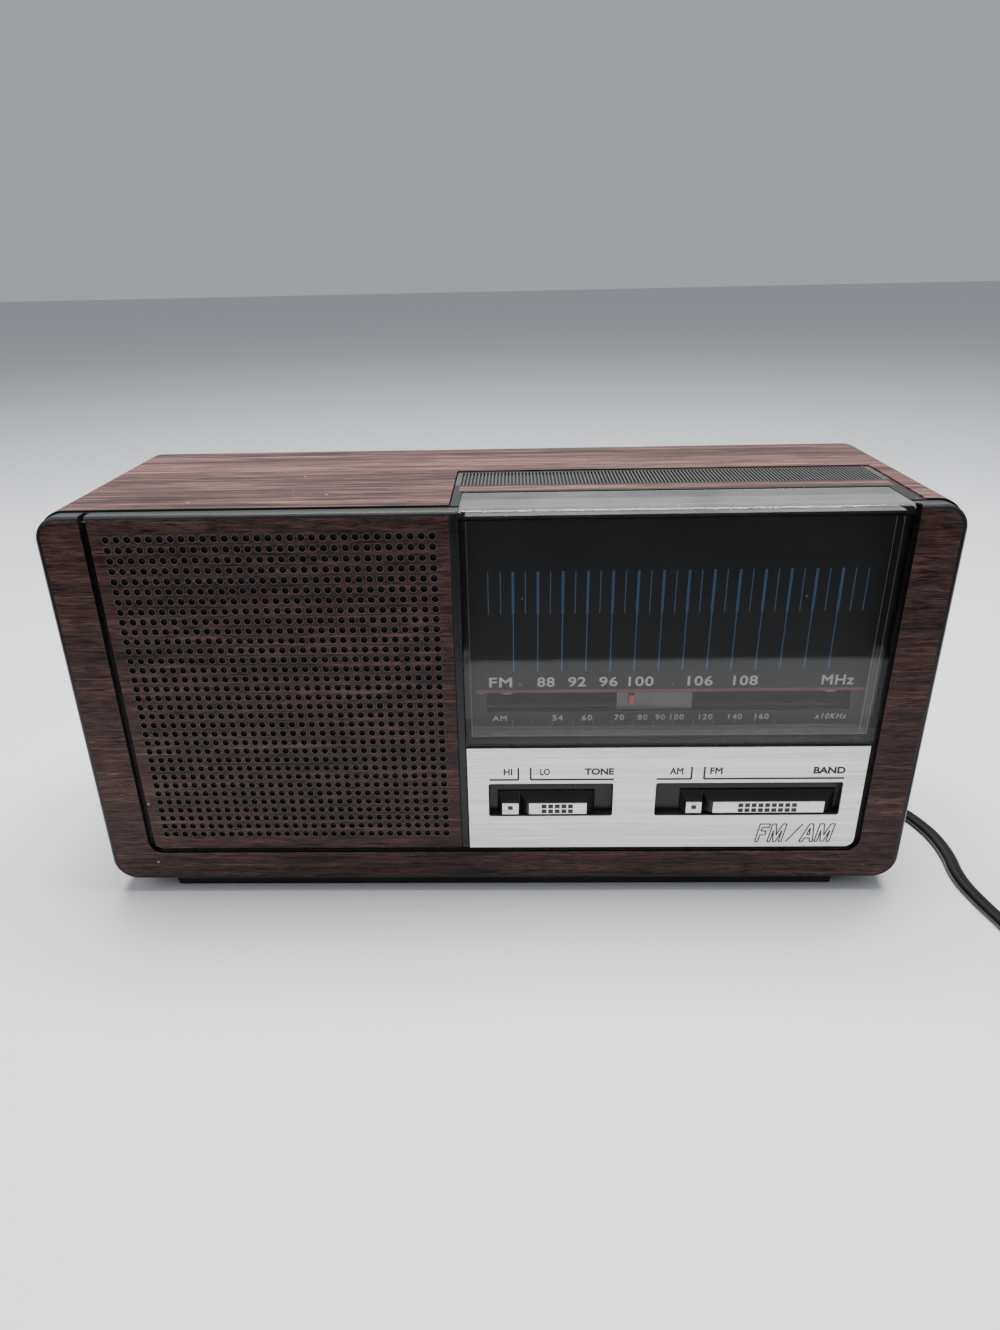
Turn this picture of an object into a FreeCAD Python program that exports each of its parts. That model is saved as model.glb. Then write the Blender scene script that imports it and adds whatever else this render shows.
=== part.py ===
"""Table radio with a wood-grain sleeve, built as an assembly of separate pieces.

Frame: X to the right, Y from the front to the rear, Z up. The origin is the middle of the
base plinth, on the surface that the radio stands on. Depths are counted rearwards from the
front face, and heights upwards from the surface. All sizes are in millimetres.
"""

import FreeCAD, Part
import Sketcher
import math
import os
import re

from FreeCAD import Placement, Rotation, Vector

doc = FreeCAD.newDocument("table_radio")
sheet = doc.addObject("Spreadsheet::Sheet", "dims")
nodes = []

# ---------------------------------------------------------------- driving dimensions

DIMENSIONS = {
    # cabinet
    "cabinet_depth": 99.0,
    "foot_height": 5.0,
    "sleeve_width": 288.5,
    "sleeve_height": 137.5,
    "sleeve_corner": 8.8,
    "sleeve_wall": 3.0,
    "rim_depth": 5.5,
    "plinth_length": 246.0,
    "plinth_depth": 91.0,
    # front moulding and its faces
    "bezel_width": 287.1,
    "bezel_height": 136.1,
    "bezel_corner": 8.1,
    "bezel_chamfer": 0.7,
    "face_width": 283.6,
    "face_height": 133.5,
    "face_corner": 6.4,
    "face_depth": 1.0,
    "groove_depth": 2.4,
    "plate_back": 4.0,
    "spigot_width": 281.9,
    "spigot_height": 130.9,
    "spigot_corner": 5.5,
    "spigot_wall": 2.2,
    "spigot_back": 14.0,
    "inner_left": -128.8,
    "inner_right": 128.7,
    "inner_bottom": 17.4,
    "groove_width": 2.0,
    "divider_left": -13.7,
    "divider_right": -11.3,
    # grille
    "hole_pitch": 3.4,
    "hole_radius": 1.15,
    "hole_columns": 31,
    "hole_rows": 33,
    "first_hole_left": -121.3,
    "first_hole_height": 25.6,
    # dial and controls
    "dial_left": -11.0,
    "dial_right": 126.9,
    "window_bottom": 61.7,
    "window_top": 141.9,
    "window_wall": 2.2,
    "window_leg": 24.5,
    "dial_depth": 10.0,
    "tray_back": 13.5,
    "panel_bottom": 19.3,
    "panel_top": 59.9,
    "well_bottom": 32.6,
    "well_top": 45.9,
    "well_floor": 3.2,
    "tone_well_left": -3.8,
    "tone_well_right": 39.9,
    "band_well_left": 54.7,
    "band_well_right": 119.4,
    "knob_travel": 4.3,
    "notch_left": -14.3,
    "notch_right": 131.6,
    "notch_back": 57.0,
    "hood_back": 56.6,
    "hood_top": 142.1,
    "rib_pitch": 1.22,
    # dial drive
    "cord_radius": 0.4,
    "pulley_radius": 5.0,
    "drum_radius": 25.0,
    "spindle_radius": 3.2,
    "tuning_wheel_radius": 20.0,
    "volume_wheel_radius": 18.0,
    "wheel_proud": 4.0,
    "running_gap": 0.05,
    # chassis
    "board_depth": 30.0,
    "board_thickness": 1.6,
    # loudspeaker
    "speaker_centre": -70.3,
    "speaker_height": 80.0,
    "speaker_opening": 46.0,
    # rear
    "rear_cover_front": 94.5,
    "rear_cover_thickness": 2.5,
    "post_radius": 4.0,
    # mains cord
    "mains_cord_width": 5.4,
    "coil_radius": 30.0,
    "coil_height": 12.0,
}


def fill_sheet():
    for row, (alias, size) in enumerate(DIMENSIONS.items(), start=1):
        sheet.set(f"A{row}", alias)
        sheet.set(f"B{row}", str(size))
        sheet.setAlias(f"B{row}", alias)
    doc.recompute()


def size(alias):
    return float(sheet.get(alias))


def formula(text):
    """The text with the sheet's name in front of each alias."""
    return re.sub(r"[a-z]+(?:_[a-z]+)+", lambda found: "dims." + found.group(0), str(text))


# ---------------------------------------------------------------- frame helpers


def at(x, depth, height):
    """The point at this depth behind the front face and height above the surface."""
    return Vector(x, depth - size("cabinet_depth") / 2, height)


def keep(piece, label):
    """Names a finished sub-part, which is written to a file of its own."""
    piece.Label = label
    nodes.append(piece)
    return piece


# ---------------------------------------------------------------- primitives and booleans


def box(name, across, depths, heights):
    """A box between two formulas along each of X, depth and height."""
    piece = doc.addObject("Part::Box", name)
    for prop, axis, (low, high), shift in (
        ("Length", "x", across, ""),
        ("Width", "y", depths, " - cabinet_depth / 2"),
        ("Height", "z", heights, ""),
    ):
        piece.setExpression(prop, formula(f"({high}) - ({low})"))
        piece.setExpression(f"Placement.Base.{axis}", formula(f"{low}{shift}"))
    return piece


TURNS = {
    "x": Rotation(Vector(0, 1, 0), 90),
    "y": Rotation(Vector(1, 0, 0), -90),
    "z": Rotation(),
}


def rod(name, axis, radius, length, x, depth, height):
    """A cylinder from a point along an axis. Radius and length are formulas."""
    piece = doc.addObject("Part::Cylinder", name)
    piece.setExpression("Radius", formula(radius))
    piece.setExpression("Height", formula(length))
    piece.Placement = Placement(at(x, depth, height), TURNS[axis])
    return piece


def fuse(name, pieces):
    joined = doc.addObject("Part::MultiFuse", name)
    joined.Shapes = pieces
    return joined


def cut(name, base, tools):
    """The base with every tool taken away."""
    result = doc.addObject("Part::Cut", name)
    result.Base = base
    result.Tool = tools[0] if len(tools) == 1 else fuse(name + "_tools", tools)
    return result


def group(name, shapes):
    """Separate solids that share one node."""
    piece = doc.addObject("Part::Feature", name)
    piece.Shape = Part.makeCompound(shapes)
    return keep(piece, name)


def solid(name, shape):
    piece = doc.addObject("Part::Feature", name)
    piece.Shape = shape
    return piece


# ---------------------------------------------------------------- bodies with sketches


def origin_plane(body, role):
    return next(item for item in body.Origin.OriginFeatures if item.Role == role)


def new_sketch(body, role, name, offset=0.0):
    sketch = body.newObject("Sketcher::SketchObject", name)
    sketch.AttachmentSupport = (origin_plane(body, role), [""])
    sketch.MapMode = "FlatFace"
    if offset:
        sketch.AttachmentOffset = Placement(Vector(0, 0, offset), Rotation())
    return sketch


def polygon(sketch, points):
    """A closed outline of straight lines through the points."""
    first = sketch.GeometryCount
    count = len(points)
    for start, end in zip(points, points[1:] + points[:1]):
        sketch.addGeometry(Part.LineSegment(Vector(*start, 0), Vector(*end, 0)), False)
    for number in range(count):
        following = first + (number + 1) % count
        sketch.addConstraint(Sketcher.Constraint("Coincident", first + number, 2, following, 1))


def rounded_rectangle(sketch, width, height, corner):
    """A rounded rectangle about the sketch's origin, held by constraints bound to three aliases."""
    half_width, half_height, radius = size(width) / 2, size(height) / 2, size(corner)
    reach_x, reach_y = half_width - radius, half_height - radius
    corners = ((1, 1), (-1, 1), (-1, -1), (1, -1))
    first = sketch.GeometryCount
    for quarter, (side_x, side_y) in enumerate(corners):
        arc = Part.Circle(Vector(side_x * reach_x, side_y * reach_y, 0), Vector(0, 0, 1), radius)
        turn = quarter * math.pi / 2
        sketch.addGeometry(Part.ArcOfCircle(arc, turn, turn + math.pi / 2), False)
    ends = (
        ((reach_x, half_height), (-reach_x, half_height)),
        ((-half_width, reach_y), (-half_width, -reach_y)),
        ((-reach_x, -half_height), (reach_x, -half_height)),
        ((half_width, -reach_y), (half_width, reach_y)),
    )
    for start, end in ends:
        sketch.addGeometry(Part.LineSegment(Vector(*start, 0), Vector(*end, 0)), False)
    for quarter in range(4):
        line = first + 4 + quarter
        sketch.addConstraint(Sketcher.Constraint("Tangent", first + quarter, 2, line, 1))
        sketch.addConstraint(Sketcher.Constraint("Tangent", line, 2, first + (quarter + 1) % 4, 1))
        direction = "Horizontal" if quarter % 2 == 0 else "Vertical"
        sketch.addConstraint(Sketcher.Constraint(direction, line))
    for quarter in range(1, 4):
        sketch.addConstraint(Sketcher.Constraint("Equal", first, first + quarter))
    sketch.addConstraint(Sketcher.Constraint("Symmetric", first, 3, first + 2, 3, -1, 1))
    for kind, sizes, alias in (
        ("Radius", (first, radius), corner),
        ("DistanceX", (first + 4, 2, first + 4, 1, 2 * reach_x), f"{width} - 2 * {corner}"),
        ("DistanceY", (first + 5, 2, first + 5, 1, 2 * reach_y), f"{height} - 2 * {corner}"),
    ):
        number = sketch.addConstraint(Sketcher.Constraint(kind, *sizes))
        sketch.setExpression(f"Constraints[{number}]", formula(alias))


def pad(body, sketch, length):
    feature = body.newObject("PartDesign::Pad", sketch.Name + "_pad")
    feature.Profile = sketch
    feature.setExpression("Length", formula(length))
    doc.recompute()
    return feature


def front_edges(shape):
    """The names of the edges that lie in the shape's foremost plane."""
    front = shape.BoundBox.YMin
    return [
        f"Edge{number}"
        for number, edge in enumerate(shape.Edges, start=1)
        if edge.BoundBox.YMax < front + 0.01
    ]


def plate(name, outline, length, back, centre_x=0.0, centre_height=0.0, chamfer=None):
    """A body whose outline, drawn from the front, is padded forwards from the depth called back."""
    body = doc.addObject("PartDesign::Body", name)
    sketch = new_sketch(body, "XZ_Plane", name + "_outline")
    outline(sketch)
    feature = pad(body, sketch, length)
    if chamfer:
        bevel = body.newObject("PartDesign::Chamfer", name + "_chamfer")
        bevel.Base = (feature, front_edges(feature.Shape))
        bevel.setExpression("Size", formula(chamfer))
        body.Tip = bevel
    body.Placement = Placement(at(centre_x, back, centre_height), Rotation())
    return body


def turned(name, profile, x, height, axis="y"):
    """A body of revolution. The profile is a list of (radius, distance along the axis)."""
    body = doc.addObject("PartDesign::Body", name)
    sketch = new_sketch(body, "XY_Plane", name + "_profile")
    polygon(sketch, profile)
    feature = body.newObject("PartDesign::Revolution", name + "_turned")
    feature.Profile = sketch
    feature.ReferenceAxis = (sketch, ["V_Axis"])
    feature.Angle = 360
    body.Placement = Placement(at(x, 0, height), Rotation())
    return body


# ---------------------------------------------------------------- cabinet


def middle_height():
    return size("foot_height") + size("sleeve_height") / 2


def wheel_places():
    """(name, radius, x, height) of the two edge wheels in the right side."""
    side = size("sleeve_width") / 2 + size("wheel_proud")
    return (
        ("tuning", size("tuning_wheel_radius"), side - size("tuning_wheel_radius"), 100.0),
        ("volume", size("volume_wheel_radius"), side - size("volume_wheel_radius"), 48.0),
    )


WHEEL_FRONT, WHEEL_BACK = 20.6, 26.4
TRANSFORMER_CENTRE, TRANSFORMER_DEPTH = -78.0, 70.0
EARS = [(TRANSFORMER_CENTRE + side * 28, TRANSFORMER_DEPTH) for side in (-1, 1)]
BASE_SCREWS = [(x, depth) for x in (-100.0, 100.0) for depth in (18.0, 80.0)]
POSTS = [(x, height) for x in (-134.0, 134.0) for height in (16.5, 131.0)]


def sleeve():
    """Wrap round cabinet, open at both ends, notched for the dial and slotted for the wheels."""
    wrap = plate(
        "sleeve_wrap",
        lambda sketch: rounded_rectangle(sketch, "sleeve_width", "sleeve_height", "sleeve_corner"),
        "cabinet_depth - rim_depth",
        size("cabinet_depth"),
        centre_height=middle_height(),
    )
    hollow = box(
        "sleeve_hollow",
        ("-sleeve_width / 2 + sleeve_wall", "sleeve_width / 2 - sleeve_wall"),
        ("0", "cabinet_depth + 1"),
        ("foot_height + sleeve_wall", "foot_height + sleeve_height - sleeve_wall"),
    )
    rounded = doc.addObject("Part::Fillet", "sleeve_hollow_rounded")
    rounded.Base = hollow
    doc.recompute()
    inner_corner = size("sleeve_corner") - size("sleeve_wall")
    rounded.Edges = [
        (number, inner_corner, inner_corner)
        for number, edge in enumerate(hollow.Shape.Edges, start=1)
        if abs(edge.tangentAt(edge.FirstParameter).y) > 0.99
    ]
    notch = box(
        "sleeve_notch",
        ("notch_left", "notch_right"),
        ("0", "notch_back"),
        ("foot_height + sleeve_height - 2 * sleeve_wall", "foot_height + sleeve_height + 1"),
    )
    tools = [rounded, notch]
    for name, radius, x, height in wheel_places():
        inside = size("sleeve_width") / 2 - size("sleeve_wall") - x
        reach = math.sqrt(radius**2 - inside**2) + 1.0
        tools.append(
            box(
                f"{name}_slot",
                ("sleeve_width / 2 - 2 * sleeve_wall", "sleeve_width / 2 + 1"),
                (WHEEL_FRONT - 1, WHEEL_BACK + 1),
                (height - reach, height + reach),
            )
        )
    for number, (x, depth) in enumerate(BASE_SCREWS):
        tools.append(rod(f"sleeve_hole_{number}", "z", "1.7", "2 * sleeve_wall", x, depth, 4.0))
    for number, (x, depth) in enumerate(EARS):
        tools.append(rod(f"ear_hole_{number}", "z", "1.6", "2 * sleeve_wall", x, depth, 4.0))
    keep(cut("sleeve", wrap, tools), "sleeve")


def base_plinth():
    """Bar-shaped foot under the whole sleeve, with its ends and sides leaning in a little."""
    lean = 0.8
    wedge = doc.addObject("Part::Wedge", "plinth_block")
    for prop, text in (
        ("Xmin", f"-plinth_length / 2 + {lean}"),
        ("Xmax", f"plinth_length / 2 - {lean}"),
        ("X2min", "-plinth_length / 2"),
        ("X2max", "plinth_length / 2"),
        ("Ymin", "0"),
        ("Ymax", "foot_height"),
        ("Zmin", f"-plinth_depth / 2 + {lean}"),
        ("Zmax", f"plinth_depth / 2 - {lean}"),
        ("Z2min", "-plinth_depth / 2"),
        ("Z2max", "plinth_depth / 2"),
    ):
        wedge.setExpression(prop, formula(text))
    wedge.Placement = Placement(Vector(0, 0, 0), Rotation(Vector(1, 0, 0), 90))
    tools = []
    for number, (x, depth) in enumerate(BASE_SCREWS):
        tools.append(rod(f"plinth_hole_{number}", "z", "1.7", "foot_height", x, depth, 0))
        tools.append(rod(f"plinth_sink_{number}", "z", "3.6", "2.6", x, depth, 0))
    keep(cut("base_plinth", wedge, tools), "base_plinth")


def screw(radius, head_radius, head, length, tip, along):
    """A pan-head screw with its tip at a point, pointing against the direction along."""
    shank = Part.makeCylinder(radius, length, tip, along)
    seat = tip + along * length
    top = Part.makeCylinder(head_radius, head, seat, along)
    slot = Part.makeBox(2.2 * head_radius, 0.7, 0.6)
    slot.translate(Vector(-1.1 * head_radius, -0.35, 0))
    slot.Placement = Placement(seat + along * (head - 0.5), Rotation(Vector(0, 0, 1), along)).multiply(
        slot.Placement
    )
    return shank.fuse(top).removeSplitter().cut(slot)


def base_screws():
    up, down = 2.6, Vector(0, 0, -1)
    group(
        "base_screws",
        [screw(1.6, 3.2, 1.8, 8.4 - up, at(x, depth, 8.4), down) for x, depth in BASE_SCREWS],
    )


# ---------------------------------------------------------------- front moulding


def wells():
    """(name, left, right, stem centre, lowest travel, highest travel) of the two slider wells."""
    travel = size("knob_travel")
    return (
        ("tone", size("tone_well_left"), size("tone_well_right"), TONE_STEM, 0.0, travel),
        ("band", size("band_well_left"), size("band_well_right"), BAND_STEM, -travel, 0.0),
    )


STEM_HALF, STEM_BOTTOM, STEM_TOP = 3.0, 36.2, 39.2
TONE_STEM, BAND_STEM = 16.5, 90.85
BEZEL_BOARD_POSTS = [(-1.0, 27.0), (104.0, 27.0)]
TRAY_BOARD_POSTS = [(8.0, 112.0), (98.0, 92.0)]


def front_bezel():
    """Black moulding: rim, face plate with grooves and wells, spigot inside the sleeve, posts."""
    block = plate(
        "bezel_block",
        lambda sketch: rounded_rectangle(sketch, "bezel_width", "bezel_height", "bezel_corner"),
        "rim_depth",
        size("rim_depth"),
        centre_height=middle_height(),
        chamfer="bezel_chamfer",
    )
    spigot = plate(
        "bezel_spigot",
        lambda sketch: rounded_rectangle(sketch, "spigot_width", "spigot_height", "spigot_corner"),
        "spigot_back - rim_depth",
        size("spigot_back"),
        centre_height=middle_height(),
    )
    hollow = box(
        "bezel_hollow",
        ("-spigot_width / 2 + spigot_wall", "spigot_width / 2 - spigot_wall"),
        ("plate_back", "spigot_back + 1"),
        (
            "foot_height + sleeve_height / 2 - spigot_height / 2 + spigot_wall",
            "foot_height + sleeve_height / 2 + spigot_height / 2 - spigot_wall",
        ),
    )
    ring = cut("bezel_ring", fuse("bezel_outer", [block, spigot]), [hollow])
    additions = [ring]
    additions.append(box("well_backing", ("-9", "125"), ("plate_back - 1", "5.4"), ("24", "50")))
    for number, (x, height) in enumerate(POSTS):
        length = "rear_cover_front - plate_back"
        additions.append(rod(f"long_post_{number}", "y", "post_radius", length, x, 4.0, height))
    for number, (x, height) in enumerate(BEZEL_BOARD_POSTS):
        length = "board_depth - plate_back"
        additions.append(rod(f"short_post_{number}", "y", "3.5", length, x, 4.0, height))
    keep(cut("front_bezel", fuse("bezel_solid", additions), bezel_openings()), "front_bezel")


def speaker_fixings():
    """(x, height) of the four screws round the loudspeaker's flange."""
    reach = size("speaker_opening") + 3.1
    sides = ((1, 0), (0, 1), (-1, 0), (0, -1))
    centre, height = size("speaker_centre"), size("speaker_height")
    return [(centre + reach * across, height + reach * up) for across, up in sides]


def bezel_openings():
    """Everything that is taken out of the front moulding."""
    face = plate(
        "bezel_face_recess",
        lambda sketch: rounded_rectangle(sketch, "face_width", "face_height", "face_corner"),
        "face_depth + 1",
        size("face_depth"),
        centre_height=middle_height(),
    )
    divider = box(
        "divider_bar",
        ("divider_left", "divider_right"),
        ("-2", "face_depth + 1"),
        ("panel_bottom", "foot_height + sleeve_height / 2 + face_height / 2 + 1"),
    )
    top = "foot_height + sleeve_height + 1"
    tools = [
        cut("face_recess", face, [divider]),
        box(
            "left_groove",
            ("inner_left", "inner_left + groove_width"),
            ("-1", "groove_depth"),
            ("inner_bottom", top),
        ),
        box(
            "right_groove",
            ("inner_right - groove_width", "inner_right"),
            ("-1", "groove_depth"),
            ("inner_bottom", top),
        ),
        box(
            "bottom_groove",
            ("inner_left", "inner_right"),
            ("-1", "groove_depth"),
            ("inner_bottom", "inner_bottom + groove_width"),
        ),
        box(
            "rim_notch",
            ("inner_left", "inner_left + groove_width"),
            ("-1", "rim_depth - 0.4"),
            ("foot_height + sleeve_height - sleeve_wall", top),
        ),
        box("cloth_seat", ("-125.2", "-14.8"), ("-1", "1.5"), ("19.8", "139.2")),
        rod(
            "speaker_hole",
            "y",
            "speaker_opening",
            "plate_back + 2",
            size("speaker_centre"),
            -1.0,
            size("speaker_height"),
        ),
        box(
            "dial_opening",
            ("dial_left - 0.1", "dial_right + 0.1"),
            ("-1", "spigot_back + 1"),
            ("window_bottom - 0.1", top),
        ),
        box(
            "hood_opening",
            ("notch_left + 0.1", "notch_right - 0.1"),
            ("rim_depth - 0.2", "spigot_back + 1"),
            ("136.4", top),
        ),
    ]
    for name, left, right, stem, low, high in wells():
        tools.append(
            box(f"{name}_well", (left, right), ("-1", "well_floor"), ("well_bottom", "well_top"))
        )
        ends = (stem + low - STEM_HALF - 0.5, stem + high + STEM_HALF + 0.5)
        tools.append(box(f"{name}_slit", ends, ("1", "7"), (STEM_BOTTOM - 0.4, STEM_TOP + 0.4)))
    for number, (x, height) in enumerate(POSTS):
        tools.append(rod(f"long_post_bore_{number}", "y", "1.3", "14", x, 82.0, height))
    for number, (x, height) in enumerate(BEZEL_BOARD_POSTS):
        tools.append(rod(f"short_post_bore_{number}", "y", "1.3", "9", x, 22.0, height))
    for number, (x, height) in enumerate(speaker_fixings()):
        tools.append(rod(f"speaker_pilot_{number}", "y", "1.5", "3", x, 2.1, height))
    return tools


def front_trim():
    """U-shaped wood-grain face round the inner panel, open at the top."""
    face = plate(
        "trim_face",
        lambda sketch: rounded_rectangle(sketch, "face_width", "face_height", "face_corner"),
        "face_depth",
        size("face_depth"),
        centre_height=middle_height(),
    )
    inside = box(
        "trim_inside",
        ("inner_left", "inner_right"),
        ("-1", "face_depth + 1"),
        ("inner_bottom", "foot_height + sleeve_height"),
    )
    keep(cut("front_trim", face, [rounded_corners(inside, 4.8)]), "front_trim")


def rounded_corners(piece, radius, low_only=True):
    """The box with the edges that run along Y rounded, only its lower two by default."""
    doc.recompute()
    middle = piece.Shape.BoundBox.Center.z
    rounded = doc.addObject("Part::Fillet", piece.Name + "_rounded")
    rounded.Base = piece
    rounded.Edges = [
        (number, radius, radius)
        for number, edge in enumerate(piece.Shape.Edges, start=1)
        if abs(edge.tangentAt(edge.FirstParameter).y) > 0.99
        and (not low_only or edge.CenterOfMass.z < middle)
    ]
    return rounded


def grille():
    """Perforated plate, and the cloth behind it."""
    thickness = size("face_depth")
    left, right = size("inner_left") + size("groove_width") + 0.4, size("divider_left") - 0.2
    bottom = size("inner_bottom") + size("groove_width")
    top = middle_height() + size("face_height") / 2
    corner = 3.0
    arc_middle = corner * (1 - math.sqrt(0.5))
    edges = [
        Part.makeLine(at(left + corner, 0, bottom), at(right, 0, bottom)),
        Part.makeLine(at(right, 0, bottom), at(right, 0, top)),
        Part.makeLine(at(right, 0, top), at(left, 0, top)),
        Part.makeLine(at(left, 0, top), at(left, 0, bottom + corner)),
        Part.Arc(
            at(left, 0, bottom + corner),
            at(left + arc_middle, 0, bottom + arc_middle),
            at(left + corner, 0, bottom),
        ).toShape(),
    ]
    pitch, radius = size("hole_pitch"), size("hole_radius")
    rings = []
    for column in range(int(size("hole_columns"))):
        for row in range(int(size("hole_rows"))):
            x = size("first_hole_left") + column * pitch
            height = size("first_hole_height") + row * pitch
            rings.append(Part.Wire(Part.makeCircle(radius, at(x, 0, height), Vector(0, 1, 0))))
    face = Part.Face([Part.Wire(edges)] + rings, "Part::FaceMakerBullseye")
    keep(solid("grille_panel", face.extrude(Vector(0, thickness, 0))), "grille_panel")
    cloth = box("grille_cloth", ("-125", "-15"), (thickness, "1.5"), ("20", "139"))
    keep(cloth, "grille_cloth")


def control_panel():
    """Thin aluminium plate with one slot for each slide knob."""
    blank = box(
        "panel_blank",
        ("dial_left", "inner_right - groove_width - 0.2"),
        ("0", "face_depth"),
        ("panel_bottom", "panel_top"),
    )
    doc.recompute()
    blank_box = blank.Shape.BoundBox
    corner = doc.addObject("Part::Fillet", "panel_corner")
    corner.Base = blank
    corner.Edges = [
        (number, 3.2, 3.2)
        for number, edge in enumerate(blank.Shape.Edges, start=1)
        if edge.CenterOfMass.x > blank_box.XMax - 0.1
        and edge.CenterOfMass.z < blank_box.ZMin + 0.1
        and abs(edge.tangentAt(edge.FirstParameter).y) > 0.99
    ]
    slots = []
    for name, left, right, *_ in wells():
        slot = box(f"{name}_panel_slot", (left, right), ("-1", "2"), ("well_bottom", "well_top"))
        slots.append(rounded_corners(slot, 0.8, low_only=False))
    keep(cut("control_panel", corner, slots), "control_panel")


# ---------------------------------------------------------------- slide knobs and switches


def slide_knob(name, rear, front, tab_right, face_left, bottom, stem):
    """A knob with sloping top and ends, a V notch beside its small tab, and two bright inlays."""
    front_depth, inlay_back, rear_depth = -0.8, -0.3, 2.9
    rear_top, front_top = bottom + 7.8, bottom + 4.6
    wedge = doc.addObject("Part::Wedge", name + "_block")
    for prop, length in (
        ("Xmin", front[0]),
        ("Xmax", front[1]),
        ("X2min", rear[0]),
        ("X2max", rear[1]),
        ("Zmin", bottom),
        ("Zmax", front_top),
        ("Z2min", bottom),
        ("Z2max", rear_top),
    ):
        setattr(wedge, prop, length)
    wedge.setExpression("Ymin", formula(f"{inlay_back} - cabinet_depth / 2"))
    wedge.setExpression("Ymax", formula(f"{rear_depth} - cabinet_depth / 2"))
    notch_corners = [
        at(tab_right, -2, bottom - 1),
        at(face_left + 0.9, -2, bottom - 1),
        at(tab_right + 0.5, 2.2, bottom - 1),
        at(tab_right, 2.2, bottom - 1),
    ]
    notch_face = Part.Face(Part.makePolygon(notch_corners + notch_corners[:1]))
    notch = solid(name + "_notch", notch_face.extrude(Vector(0, 0, 10)))
    stem_block = box(
        name + "_stem",
        (stem - STEM_HALF, stem + STEM_HALF),
        (rear_depth - 0.5, "25"),
        (STEM_BOTTOM, STEM_TOP),
    )
    body = cut(name + "_cap", wedge, [notch])
    keep(fuse(name, [body, stem_block]), name)
    inlays = []
    for left, right in ((front[0] + 0.1, tab_right - 0.1), (face_left, front[1] - 0.1)):
        inlay = Part.makeBox(right - left, inlay_back - front_depth, front_top - bottom - 0.2)
        inlay.translate(at(left, front_depth, bottom + 0.1))
        inlays.append(inlay)
    group(name + "_inlays", inlays)


def slide_switch(name, stem, low, high):
    """Switch housing on the board, with a slot in its front that the knob's stem moves in."""
    half = 9.5
    housing = box(
        name + "_housing",
        (stem + low - half, stem + high + half),
        ("board_depth - 8", "board_depth"),
        (STEM_BOTTOM - 2.4, STEM_TOP + 2.4),
    )
    slot = box(
        name + "_slot",
        (stem + low - STEM_HALF - 0.6, stem + high + STEM_HALF + 0.6),
        ("board_depth - 9", "board_depth - 4"),
        (STEM_BOTTOM - 0.5, STEM_TOP + 0.5),
    )
    keep(cut(name, housing, [slot]), name)


def sliders():
    slide_knob("tone_knob", (-0.7, 33.7), (0.85, 30.8), 6.8, 10.4, 33.8, TONE_STEM)
    slide_knob("band_knob", (63.8, 117.9), (65.5, 113.8), 71.1, 75.0, 34.0, BAND_STEM)
    for name, _, _, stem, low, high in wells():
        slide_switch(f"{name}_switch", stem, low, high)


# ---------------------------------------------------------------- dial


def dial_window():
    """Clear cover: front, top leg, bottom and side returns."""
    outer = box(
        "window_outer",
        ("dial_left", "dial_right"),
        ("0", "window_leg"),
        ("window_bottom", "window_top"),
    )
    doc.recompute()
    outer_box = outer.Shape.BoundBox
    edges = []
    for number, edge in enumerate(outer.Shape.Edges, start=1):
        centre = edge.CenterOfMass
        if abs(edge.tangentAt(edge.FirstParameter).x) > 0.99 and centre.z > outer_box.ZMax - 0.1:
            radius = 2.6 if centre.y < outer_box.YMin + 0.1 else 0.6
            edges.append((number, radius, radius))
    rounded = doc.addObject("Part::Fillet", "window_rounded")
    rounded.Base = outer
    rounded.Edges = edges
    side = 1.8
    inside = box(
        "window_inside",
        (f"dial_left + {side}", f"dial_right - {side}"),
        ("window_wall", "window_leg + 1"),
        (f"window_bottom + {side}", "window_top - window_wall"),
    )
    behind = box(
        "window_behind",
        ("dial_left - 1", "dial_right + 1"),
        ("dial_depth - 0.2", "window_leg + 1"),
        ("window_bottom - 1", "window_top - window_wall"),
    )
    under_leg = box(
        "window_under_leg",
        ("dial_left - 1", "dial_right + 1"),
        ("8.4", "window_leg + 1"),
        ("136.9", "window_top - window_wall"),
    )
    keep(cut("dial_window", rounded, [inside, behind, under_leg]), "dial_window")


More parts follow.
